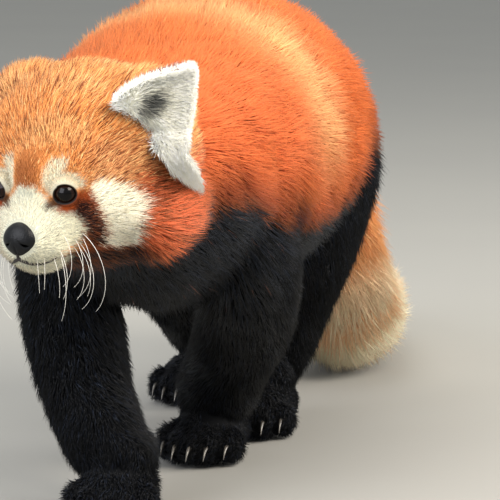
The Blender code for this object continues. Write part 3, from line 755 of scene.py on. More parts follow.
@dataclass
class Markings:
    """The coat's colours, which the skin and every tuft of hair share."""

    crown: str = "#E39652"
    crown_pale: str = "#F3C486"
    crown_dark: str = "#7A3E1C"
    bridge: str = "#9C5A2A"
    temple: str = "#CF9360"
    white: str = "#E4E3CC"
    brow: str = "#DCD4B8"
    cheek: str = "#F6F2DC"
    tear_rust: str = "#A3481A"
    tear_dark: str = "#2C0E07"
    ruff: str = "#D4683C"
    orange: str = "#DC6B35"
    back: str = "#DF7536"
    # A painted highlight down the flank, where the ribs bulge towards the light
    painted_flank_highlight: str = "#FFC485"
    haunch: str = "#E87129"
    rust: str = "#9A4022"
    black: str = "#06080C"
    tail: str = "#FFEBCA"
    throat: str = "#140A08"
    speck: str = "#5A5148"
    tail_ring: str = "#F2AC70"
    tail_root: str = "#FA9A4E"
    ear_white: str = "#FDFCEC"
    ear_dark: str = "#2B3033"
    ear_back: str = "#7A3417"
    ring_gap: float = 0.046

    def face(self, local: np.ndarray) -> np.ndarray:
        """Colours on the head.

        Args:
            local: places in the head's own axes.

        Returns:
            A linear colour for each.
        """
        across = np.abs(local[:, 0])
        flat = np.column_stack([across, local[:, 2]]) / MM
        back = local[:, 1] / MM
        height = local[:, 2] / MM
        count = len(local)
        colour = np.tile(linear(self.crown), (count, 1))
        pale = 0.6 * ramp(waves(local, 0.018, 3), 0.1, 1.0) + 0.4 * ramp(back, -20, 30)
        colour = mixed(colour, linear(self.crown_pale) * np.ones((count, 1)), 0.7 * pale)
        temple = ramp(across / MM, 26, 42) * (1 - ramp(height, 22, 36)) * (1 - ramp(back, -20, 5))
        colour = mixed(colour, linear(self.temple) * np.ones((count, 1)), 0.8 * temple)
        side = ramp(across / MM, 52, 62) * (1 - ramp(height, 2, 16))
        low = 1 - ramp(height, -34, -14)
        ruff = np.maximum(side, low * ramp(back, -46, -34))
        ruff = np.maximum(ruff, (1 - ramp(height, -6, 10)) * ramp(back, -12, 4))
        colour = mixed(colour, linear(self.ruff) * np.ones((count, 1)), ruff)
        bridge = (1 - ramp(across / MM, 5, 11)) * ramp(height, 1, 5) * (1 - ramp(height, 14, 34))
        colour = mixed(colour, linear(self.bridge) * np.ones((count, 1)), 0.9 * bridge)
        front = 1 - ramp(back, -24, -14)
        rust = ramp(depth_in(flat, TEAR_RUST), -1.5, 1.5) * front
        colour = mixed(colour, linear(self.tear_rust) * np.ones((count, 1)), rust)
        dark = ramp(depth_in(flat, TEAR_DARK), -2.0, 2.0) * front
        colour = mixed(colour, linear(self.tear_dark) * np.ones((count, 1)), dark)
        throat = 1 - ramp(height + 0.10 * np.abs(across / MM - 20), -38, -32)
        throat = np.maximum(throat * (1 - ramp(across / MM, 48, 60)), ramp(back - 0.9 * height, 38, 50) * (height < 6))
        colour = mixed(colour, linear(self.throat) * np.ones((count, 1)), throat)
        for outline, code, soft, behind in (
            (BROW_WHITE, self.brow, 1.2, -24),
            (CHEEK_WHITE, self.cheek, 2.2, -16),
            (CHIN_WHITE, self.white, 1.5, -46),
            (MUZZLE_WHITE, self.white, 1.2, -24),
        ):
            white = ramp(depth_in(flat, outline), -soft, soft) * (1 - ramp(back, behind, behind + 8))
            colour = mixed(colour, linear(code) * np.ones((count, 1)), white)
        corner = ramp(depth_in(flat, EYE_CORNER), -1.0, 1.0) * front
        colour = mixed(colour, linear(self.tear_dark) * np.ones((count, 1)), 0.85 * corner)
        specks = self.specks(flat) * front
        return mixed(colour, linear(self.speck) * np.ones((count, 1)), specks)

    def specks(self, flat: np.ndarray) -> np.ndarray:
        """How dark each place is from the whisker roots, which stand in rows on both sides of the muzzle."""
        dark = np.zeros(len(flat))
        for row in range(4):
            for column in range(5):
                spot = (12.0 + 2.6 * column, -19.0 - 3.0 * row + 0.5 * column)
                far = np.hypot(flat[:, 0] - spot[0], flat[:, 1] - spot[1])
                dark = np.maximum(dark, 0.55 * (1 - ramp(far, 0.2, 0.9)))
        return dark

    def body(self, points: np.ndarray) -> np.ndarray:
        """Colours on the trunk: orange above, black below, with rust where they meet, and a painted highlight down the
        flank where the ribs bulge.

        Args:
            points: places in the room.

        Returns:
            A linear colour for each.
        """
        count = len(points)
        along, height = points[:, 1], points[:, 2]
        wobble = 0.006 * waves(points, 0.045, 5)
        edge = np.interp(
            along,
            (-0.24, -0.19, -0.15, -0.10, -0.04, 0.02, 0.07, 0.11, 0.16, 0.21, 0.26),
            (0.196, 0.194, 0.190, 0.175, 0.157, 0.150, 0.163, 0.175, 0.187, 0.198, 0.207),
        )
        above = height - edge - wobble
        colour = np.tile(linear(self.orange), (count, 1))
        top = ramp(height, 0.225, 0.300)
        colour = mixed(colour, linear(self.back) * np.ones((count, 1)), top)
        haunch = ramp(along, 0.020, 0.050) * (1 - 0.6 * top)
        colour = mixed(colour, linear(self.haunch) * np.ones((count, 1)), 0.7 * haunch)
        # Painted highlight: a pale stripe down the flank over the bulge of the ribs
        painted_flank_highlight = np.exp(-(((along + 0.006) / 0.036) ** 2)) * ramp(height, 0.165, 0.225)
        colour = mixed(colour, linear(self.painted_flank_highlight) * np.ones((count, 1)), 0.72 * painted_flank_highlight)
        reach = 0.026 + 0.020 * ramp(along, 0.08, 0.14)
        colour = mixed(colour, linear(self.rust) * np.ones((count, 1)), 1 - ramp(above / reach, 0.0, 1.0))
        return mixed(colour, linear(self.black) * np.ones((count, 1)), 1 - ramp(above, -0.010, 0.005))

    def brush(self, share: np.ndarray, length: np.ndarray) -> np.ndarray:
        """Colours on the tail, ringed along its length.

        Args:
            share: how far along the tail each place is.
            length: the same in metres.

        Returns:
            A linear colour for each.
        """
        count = len(share)
        ring = ramp(np.sin(length / self.ring_gap * math.tau), 0.25, 0.95)
        colour = mixed(linear(self.tail) * np.ones((count, 1)), linear(self.tail_ring) * np.ones((count, 1)), 0.7 * ring)
        colour = mixed(colour, linear(self.tail_root) * np.ones((count, 1)), 1 - ramp(share, 0.25, 0.44))
        return mixed(colour, linear(self.crown_dark) * 0.6 * np.ones((count, 1)), ramp(share, 0.93, 0.985))


@dataclass(frozen=True)
class Hair:
    """One region's tufts: length, width, how far tips stand off, tufts a square centimetre, and their rings."""

    length: float
    width: float
    lift: float
    density: float
    rings: int = 1

    def most(self) -> int:
        """How many of these tufts fit in one piece."""
        return PIECE_TRIANGLES // (6 * self.rings - 2)


COATS = {
    Region.MUZZLE: Hair(0.0050, 0.00062, 0.0011, 260),
    Region.CROWN: Hair(0.0110, 0.00080, 0.0034, 150),
    Region.RUFF: Hair(0.0165, 0.00095, 0.0055, 105),
    Region.TRUNK: Hair(0.0200, 0.00120, 0.0068, 60),
    Region.LEG: Hair(0.0140, 0.00115, 0.0038, 60),
    Region.PAW: Hair(0.0090, 0.00100, 0.0024, 75),
    Region.TAIL: Hair(0.0290, 0.00130, 0.0090, 68),
    Region.EAR: Hair(0.0085, 0.00072, 0.0022, 60),
}


@dataclass
class Roots:
    """Where tufts grow: their places, the skin's normals, the way they lie, and their sizes and colours."""

    places: np.ndarray
    normals: np.ndarray
    lies: np.ndarray
    length: np.ndarray
    width: np.ndarray
    lift: np.ndarray
    tint: np.ndarray
    unwrap: np.ndarray

    def some(self, picked: np.ndarray) -> "Roots":
        """The roots at those rows."""
        return Roots(*(getattr(self, name)[picked] for name in self.__dataclass_fields__))


def tufts(roots: Roots, rings: int, chance: np.random.Generator, deep: float = 0.68) -> Shape:
    """Tapered three-sided tufts, sunk at the root, that lift off the skin and bend as they go.

    Args:
        roots: where and how they grow.
        rings: how many rings each has before its tip.
        chance: draws their bends.
        deep: how light the root is beside the tip, painted shade among the hairs over a darker undercoat.

    Returns:
        All of them as one shape, with their colours and their patches on the unwrap.
    """
    count = len(roots.places)
    shares = np.append(np.arange(rings) / rings, 1.0)
    across = unit(np.cross(roots.lies, roots.normals))
    bend = chance.normal(0, 0.13, count) * roots.length
    curl = chance.uniform(0.8, 1.25, count)
    lines = []
    for share in shares:
        rise = roots.lift * curl * (1 - (1 - share) ** 1.7) - 0.0012 * (1 - share)
        lines.append(
            roots.places
            + roots.lies * (roots.length * share * (1 - 0.06 * share))[:, None]
            + roots.normals * rise[:, None]
            + across * (bend * share**2)[:, None]
        )
    points = np.empty((count, 3 * rings + 1, 3))
    tint = np.empty((count, 3 * rings + 1, 3))
    unwrap = np.empty((count, 3 * rings + 1, 2))
    for ring in range(rings):
        along = unit(lines[ring + 1] - lines[ring])
        up = np.cross(across, along)
        half = roots.width / 2 * (1.0, 0.86, 0.62)[ring * 3 // (2 * rings) if rings == 2 else ring]
        points[:, 3 * ring] = lines[ring] - across * half[:, None]
        points[:, 3 * ring + 1] = lines[ring] + across * half[:, None]
        points[:, 3 * ring + 2] = lines[ring] + up * (half * 0.9)[:, None]
        # Painted shade: each tuft darker at the root than at the tip, less so where the hair is pale; the tip is
        # lighter again
        pale = deep + (0.90 - deep) * ramp(roots.tint.mean(axis=1), 0.15, 0.75)
        shade = pale + (1.06 - pale) * shares[ring]
        for corner, shift in enumerate((-0.5, 0.5, 0.0)):
            tint[:, 3 * ring + corner] = roots.tint * shade[:, None]
            unwrap[:, 3 * ring + corner] = roots.unwrap + TUFT_PATCH * np.array((shift, shares[ring] - 0.5))
    points[:, -1] = lines[-1]
    tint[:, -1] = roots.tint * 1.12
    unwrap[:, -1] = roots.unwrap + TUFT_PATCH * np.array((0.0, 0.5))
    one = [(0, 2, 1)]
    for ring in range(rings - 1):
        a = 3 * ring
        for first, second in ((0, 1), (1, 2), (2, 0)):
            one += [(a + first, a + second, a + 3 + second), (a + first, a + 3 + second, a + 3 + first)]
    last = 3 * (rings - 1)
    one += [(last + first, last + second, 3 * rings) for first, second in ((0, 1), (1, 2), (2, 0))]
    triangles = (np.arange(count) * (3 * rings + 1))[:, None, None] + np.array(one)[None]
    tint = np.clip(tint.reshape(-1, 3), 0, 1)
    return Shape(points.reshape(-1, 3), triangles.reshape(-1, 3), tint, unwrap.reshape(-1, 2)).outward()


def scatter(
    shape: Shape, normals: np.ndarray, expected: np.ndarray, chance: np.random.Generator
) -> tuple[np.ndarray, np.ndarray]:
    """Draws places on a shape's skin, spread evenly.

    Args:
        shape: what they are drawn on.
        normals: the normal at each of its corners.
        expected: how many places each triangle gets on average.
        chance: draws them.

    Returns:
        The places, and the normals there.
    """
    total = int(expected.sum())
    share = np.cumsum(expected) / expected.sum()
    picked = np.searchsorted(share, (np.arange(total) + chance.random(total)) / total)
    chosen = shape.triangles[np.minimum(picked, len(expected) - 1)]
    first, second = chance.random((2, total))
    fold = first + second > 1
    first[fold], second[fold] = 1 - first[fold], 1 - second[fold]
    mix = np.column_stack([1 - first - second, first, second])[:, :, None]
    return (shape.points[chosen] * mix).sum(axis=1), unit((normals[chosen] * mix).sum(axis=1))


def eight_sided(ways: np.ndarray) -> np.ndarray:
    """Places on a square for directions, by folding an eight-sided ball flat.

    Args:
        ways: directions as rows.

    Returns:
        Two coordinates from 0 to 1 for each.
    """
    flat = ways / np.abs(ways).sum(axis=1, keepdims=True)
    plane = flat[:, :2].copy()
    under = flat[:, 2] < 0
    folded = (1 - np.abs(plane[:, ::-1])) * np.where(plane >= 0, 1, -1)
    plane[under] = folded[under]
    return np.clip(0.5 + 0.49 * plane, 0.003, 0.997)


@dataclass
class Line:
    """The middle line of one form, with the radius round it."""

    centres: np.ndarray
    radii: np.ndarray
    ways: np.ndarray
    region: Region

    def nearest(self, points: np.ndarray) -> tuple[np.ndarray, np.ndarray]:
        """How close each place is, as a share of the radius, and the row of the line that it is closest to."""
        closeness = np.empty(len(points))
        rows = np.empty(len(points), int)
        for start in range(0, len(points), 20000):
            part = points[start : start + 20000]
            shares = np.linalg.norm(part[:, None] - self.centres[None], axis=2) / self.radii[None]
            best = shares.argmin(axis=1)
            rows[start : start + 20000] = best
            closeness[start : start + 20000] = shares[np.arange(len(part)), best]
        return closeness, rows


class Anatomy:
    """Tells for any place on the skin which form it is on, how its hair lies, and its colour."""

    # How short a leg's hair is at the wrist, beside its hair higher up
    wrist = 0.70

    def __init__(self, forms: Forms, head: Head, markings: Markings) -> None:
        """Lays out the middle lines of all the forms."""
        self.forms = forms
        self.head = head
        self.markings = markings
        self.lines: dict[str, Line] = {}
        for name, loft, region in (
            ("trunk", forms.trunk, Region.TRUNK),
            ("tail", forms.tail, Region.TAIL),
            *((name, loft, Region.LEG) for name, loft in forms.legs.items()),
        ):
            rings = loft.rings()[1:-1]
            radii = np.maximum(rings[:, 3:5].mean(axis=1), 0.018)
            if region is Region.LEG:
                keep = rings[:, 2] < 0.165
                rings, radii = rings[keep], radii[keep]
            self.lines[name] = Line(rings[:, :3], radii, loft.ways(rings), region)
        for name, (_, _, _, sole) in forms.paws.items():
            frame = np.array(forms.paw_frame(name))
            steps = np.linspace(-0.022, sole * 0.8, 12)
            centres = np.column_stack([0 * steps, steps, 0.016 + 0 * steps]) @ frame[:3, :3].T + frame[:3, 3]
            ways = np.tile(frame[:3, :3] @ (0.0, -0.92, -0.30), (12, 1))
            self.lines[name] = Line(centres, np.full(12, 0.027), ways, Region.PAW)

    def weights(self, points: np.ndarray) -> tuple[dict[str, np.ndarray], dict[str, np.ndarray]]:
        """How much each form has a say at each place, and the row of its line there."""
        names = ["head", *self.lines]
        local = from_head(points) + (0, 0.003, 0)
        close = [np.linalg.norm(local / np.array(self.head.reach), axis=1)]
        rows = {}
        for name, line in self.lines.items():
            closeness, rows[name] = line.nearest(points)
            close.append(closeness)
        close = np.array(close)
        strength = np.exp(-(((close - close.min(axis=0)) / 0.13) ** 2))
        strength /= strength.sum(axis=0)
        return dict(zip(names, strength)), rows

    def head_lie(self, local: np.ndarray) -> np.ndarray:
        """The way that hair lies on the head, away from the nose, over the crown and out over the cheeks."""
        away = unit(local - np.array((0, -0.078, -0.022)))
        across = local[:, 0] / self.head.reach[0]
        low = 1 - ramp(local[:, 2], -0.030, 0.020)
        spread = np.column_stack([0.55 * across, 0.62 + 0 * across, 0.10 - 0.45 * low * np.abs(across)])
        back = ramp(local[:, 1], -0.050, 0.000)
        return unit(away + spread * (0.5 + back)[:, None])

    def describe(self, points: np.ndarray, normals: np.ndarray, chance: np.random.Generator) -> tuple[Roots, np.ndarray]:
        """Works out lie, sizes, colour and unwrap place of the hair at each place.

        Args:
            points: places on the skin.
            normals: the skin's normals there.
            chance: draws what varies.

        Returns:
            The roots, and the index of each one's region.
        """
        weights, rows = self.weights(points)
        local = from_head(points)
        count = len(points)
        lie = self.head_lie(local) @ HEAD_TURN.T * weights["head"][:, None]
        for name, line in self.lines.items():
            way = line.ways[rows[name]]
            if line.region is Region.TRUNK:
                droop = 0.55 * (1 - np.clip(normals[:, 2], 0, 1)) * (1 - ramp(-normals[:, 2], 0.3, 0.9))
                way = unit(way + np.outer(droop, (0, 0, -1)))
            if line.region is Region.LEG:
                way = unit(way + (0, 0.25, -0.2))
            lie = lie + way * weights[name][:, None]
        swirl = 0.22 * waves(points, 0.022, 21) + 0.16 * waves(points, 0.007, 22) + chance.normal(0, 0.12, count)
        lie = unit(lie - normals * (lie * normals).sum(axis=1, keepdims=True))
        lie = unit(lie + np.cross(normals, lie) * swirl[:, None])
        kinds = list(Region)
        region = self.regions(local, weights)
        sizes = self.sizes(points, local, weights)
        lie, near_eye = self.round_eyes(local, lie, normals)
        ruffle = 1 + 0.25 * waves(points, 0.013, 23)
        length = sizes[:, 0] * near_eye * chance.uniform(0.72, 1.22, count)
        width = sizes[:, 1] * chance.uniform(0.7, 1.25, count)
        lift = sizes[:, 2] * near_eye * ruffle * chance.uniform(0.55, 1.35, count)
        ahead = length * chance.uniform(0.40, 0.80, count)
        seen = points + lie * ahead[:, None] + normals * lift[:, None] + chance.normal(0, 0.0009, (count, 3))
        tint = self.colours(seen, weights, rows)
        tint = self.varied(tint, local, weights, points, chance)
        unwrap = self.unwrap(points, local, weights, rows)
        index = np.array([kinds.index(kind) for kind in region])
        dark = (tint.max(axis=1) < 0.035) & np.isin(index, [kinds.index(Region.TRUNK), kinds.index(Region.RUFF)])
        index[dark] = kinds.index(Region.LEG)
        return Roots(points, normals, lie, length, width, lift, tint, unwrap), index

    def regions(self, local: np.ndarray, weights: dict[str, np.ndarray]) -> list[Region]:
        """The region that each place is in."""
        names = list(weights)
        first = np.array([weights[name] for name in names]).argmax(axis=0)
        back = ramp(local[:, 1], -0.052, -0.030)
        ruff = self.ruff(local)
        out = []
        for at, which in enumerate(first):
            name = names[which]
            if name != "head":
                out.append(self.lines[name].region)
            elif ruff[at] > 0.5:
                out.append(Region.RUFF)
            else:
                out.append(Region.CROWN if back[at] > 0.5 else Region.MUZZLE)
        return out

    def ruff(self, local: np.ndarray) -> np.ndarray:
        """How much of the long ruff there is at each place on the head."""
        side = ramp(np.abs(local[:, 0]), 0.046, 0.060) * (1 - ramp(local[:, 2], -0.004, 0.016))
        below = (1 - ramp(local[:, 2], -0.046, -0.030)) * ramp(local[:, 1], -0.030, -0.010)
        return np.maximum(side, below) * ramp(local[:, 1], -0.030, -0.012) * (1 - 0.7 * ramp(local[:, 1], 0.008, 0.030))

    def sizes(self, points: np.ndarray, local: np.ndarray, weights: dict[str, np.ndarray]) -> np.ndarray:
        """Length, width and lift of the hair at each place, blended between the forms."""
        rows = {kind: np.array((hair.length, hair.width, hair.lift)) for kind, hair in COATS.items()}
        back = ramp(local[:, 1], -0.058, -0.012)
        head = rows[Region.MUZZLE] + (rows[Region.CROWN] - rows[Region.MUZZLE]) * back[:, None]
        head = head + (rows[Region.RUFF] - head) * self.ruff(local)[:, None]
        total = head * weights["head"][:, None]
        wrist = self.wrist + (1 - self.wrist) * ramp(points[:, 2], 0.035, 0.105)
        for name, line in self.lines.items():
            shorter = wrist if line.region is Region.LEG else 1.0
            total = total + rows[line.region] * (weights[name] * shorter)[:, None]
        return total

    def round_eyes(self, local: np.ndarray, lie: np.ndarray, normals: np.ndarray) -> tuple[np.ndarray, np.ndarray]:
        """Turns the hair near an eye away from it, and tells how much shorter it is there."""
        shorter = np.ones(len(local))
        for side in (1, -1):
            away = local - np.array(self.head.eye) * (side, 1, 1)
            far = np.linalg.norm(away, axis=1)
            push = np.exp(-((np.maximum(far - 0.008, 0) / 0.006) ** 2))
            away = unit(away) @ HEAD_TURN.T
            away = away - normals * (away * normals).sum(axis=1, keepdims=True)
            lie = unit(lie + 1.8 * unit(away) * push[:, None])
            shorter = np.minimum(shorter, 0.50 + 0.50 * ramp(far, 0.008, 0.022))
        return lie, shorter

    def colours(self, points: np.ndarray, weights: dict[str, np.ndarray], rows: dict[str, np.ndarray]) -> np.ndarray:
        """The markings at each place, each form's own where it has its say."""
        total = self.markings.face(from_head(points)) * weights["head"][:, None]
        black = linear(self.markings.black)
        for name, line in self.lines.items():
            if line.region is Region.TRUNK:
                own = self.markings.body(points)
            elif line.region is Region.TAIL:
                share = rows[name] / (len(line.centres) - 1)
                steps = np.linalg.norm(np.diff(line.centres, axis=0), axis=1)
                run = np.append(0, np.cumsum(steps))
                offset = ((points - line.centres[rows[name]]) * line.ways[rows[name]]).sum(axis=1)
                own = self.markings.brush(share, run[rows[name]] + offset)
            else:
                own = np.tile(black, (len(points), 1))
            total = total + own * weights[name][:, None]
        return total

    def varied(
        self,
        tint: np.ndarray,
        local: np.ndarray,
        weights: dict[str, np.ndarray],
        points: np.ndarray,
        chance: np.random.Generator,
    ) -> np.ndarray:
        """Each tuft a little lighter or darker, with dark strands through the crown, and grey-blue strands through the
        black that paint its sheen, more of them higher up.
        """
        count = len(points)
        tint = tint * np.exp(chance.normal(0, 0.09, count))[:, None]
        black = tint.max(axis=1) < 0.02
        # Painted sheen: grey-blue strands in the black hair, more of them higher up where the light falls
        sheen = (chance.random(count) < 0.15 + 0.35 * ramp(points[:, 2], 0.09, 0.19)) & black
        tint[sheen] = linear("#1A212E") * chance.uniform(0.6, 1.3, sheen.sum())[:, None]
        white = tint.min(axis=1) > 0.5
        strands = ramp(local[:, 1], -0.058, -0.040) * weights["head"] * ~white
        pale = chance.random(count) < 0.16 * strands * (local[:, 2] > 0)
        tint[pale] = linear(self.markings.crown_pale) * chance.uniform(0.9, 1.1, pale.sum())[:, None]
        dark = chance.random(count) < 0.28 * strands
        tint[dark] = linear(self.markings.crown_dark) * chance.uniform(0.7, 1.6, dark.sum())[:, None]
        return tint

    def unwrap(
        self, points: np.ndarray, local: np.ndarray, weights: dict[str, np.ndarray], rows: dict[str, np.ndarray]
    ) -> np.ndarray:
        """Each place on the unwrap: the head folded flat, every other form rolled out round its middle line."""
        names = list(weights)
        first = np.array([weights[name] for name in names]).argmax(axis=0)
        flat = eight_sided(unit(local))
        for number, (name, line) in enumerate(self.lines.items(), 1):
            here = first == number
            row = rows[name][here]
            spoke = points[here] - line.centres[row]
            way = line.ways[row]
            right = unit(np.array((1.0, 0, 0)) - way * way[:, :1])
            up = np.cross(way, right)
            angle = np.arctan2((spoke * up).sum(axis=1), (spoke * right).sum(axis=1))
            along = (row + 0.5) / len(line.centres) + (spoke * way).sum(axis=1) * 2
            flat[here] = np.column_stack([0.5 + 0.49 * angle / math.pi, np.clip(along, 0.003, 0.997)])
        return flat


class Coat:
    """The hair of the whole animal but its ears, as mesh tufts over the skin."""

    names = {
        Region.MUZZLE: ("coat_muzzle", FACE_HAIR),
        Region.CROWN: ("coat_crown", FACE_HAIR),
        Region.RUFF: ("coat_ruff", FACE_HAIR),
        Region.TRUNK: ("coat_trunk", BODY_HAIR),
        Region.LEG: ("coat_legs", LEG_HAIR),
        Region.PAW: ("coat_paws", LEG_HAIR),
        Region.TAIL: ("coat_tail", TAIL_HAIR),
    }

    def __init__(self, skin: Shape, normals: np.ndarray, anatomy: Anatomy, clear: list[tuple[np.ndarray, float]]) -> None:
        """Keeps the skin and the round places that stay bare."""
        self.skin = skin
        self.normals = normals
        self.anatomy = anatomy
        self.clear = clear

    def roots(self, chance: np.random.Generator) -> tuple[np.ndarray, np.ndarray]:
        """Draws the places of the tufts, closer together where the hair is short.

        Args:
            chance: draws them.

        Returns:
            Places and normals.
        """
        corners = self.skin.points[self.skin.triangles]
        middle = corners.mean(axis=1)
        area = np.linalg.norm(np.cross(corners[:, 1] - corners[:, 0], corners[:, 2] - corners[:, 0]), axis=1) / 2
        weights, _ = self.anatomy.weights(middle)
        local = from_head(middle)
        back = ramp(local[:, 1], -0.058, -0.012)
        head = COATS[Region.MUZZLE].density + (COATS[Region.CROWN].density - COATS[Region.MUZZLE].density) * back
        head = head + (COATS[Region.RUFF].density - head) * self.anatomy.ruff(local)
        density = head * weights["head"]
        for name, line in self.anatomy.lines.items():
            density = density + COATS[line.region].density * weights[name]
        expected = density * 1e4 * area
        facing = np.cross(corners[:, 1] - corners[:, 0], corners[:, 2] - corners[:, 0])[:, 2] / (2 * area)
        expected *= np.where((facing < -0.45) & (middle[:, 2] > 0.06), 0.55, 1.0)
        expected[middle[:, 2] < 0.0022] = 0
        places, normals = scatter(self.skin, self.normals, expected, chance)
        head = self.anatomy.head
        keep = np.linalg.norm((from_head(places) - head.nose) / (np.array(head.nose_radii) - 0.0006), axis=1) > 1
        for centre, radius in self.clear:
            keep &= np.linalg.norm(places - centre, axis=1) > radius
        return places[keep], normals[keep]

    def build(self) -> list[tuple[str, Shape, Finish]]:
        """Makes the tufts, region by region, in pieces that stay small enough for the export."""
        chance = np.random.default_rng(SEED)
        places, normals = self.roots(chance)
        roots, index = self.anatomy.describe(places, normals, chance)
        made = []
        for number, region in enumerate(Region):
            here = np.flatnonzero(index == number)
            if not len(here):
                continue
            name, finish = self.names[region]
            parts = math.ceil(len(here) / COATS[region].most())
            order = here[np.argsort(places[here, 1] + 0.2 * places[here, 0], kind="stable")]
            for part, rows in enumerate(np.array_split(order, parts), 1):
                shape = tufts(roots.some(rows), COATS[region].rings, chance)
                shape.points[:, 2] = np.maximum(shape.points[:, 2], 0.0004)
                label = name if parts == 1 else f"{name}_{part}"
                made.append((label, shape, finish))
        return made


# The right ear sits a little further out, lower and back
EAR_TURNED_OUT = (0.009, 0.002, -0.005)


# The ear's outline from the point of its fringe to its tip, in millimetres across and up from its root: the inner
# edge, the outer edge, and how far that height is set away from the front
EAR_OUTLINE = (
    (40.5, -8.6, 41.2, -7.8, 16.0),
    (34.5, -11.0, 36.6, -5.4, 6.0),
    (27.5, -12.8, 31.2, -3.2, -1.0),
    (18.5, -12.2, 26.0, -1.0, -3.0),
    (8.0, -11.5, 22.9, 3.9, -2.0),
    (-5.5, -14.5, 19.6, 9.8, 0.0),
    (-16.5, -12.5, 15.8, 16.7, 0.0),
    (-21.2, -6.8, 11.6, 23.0, 0.0),
    (-20.8, 2.4, 7.7, 28.0, 0.0),
    (-17.3, 13.0, 4.6, 32.0, 0.0),
    (-11.2, 23.2, 2.0, 34.9, 0.0),
    (-5.3, 31.3, 0.0, 36.5, 0.0),
    (-3.0, 35.3, -2.0, 36.6, 0.0),
)


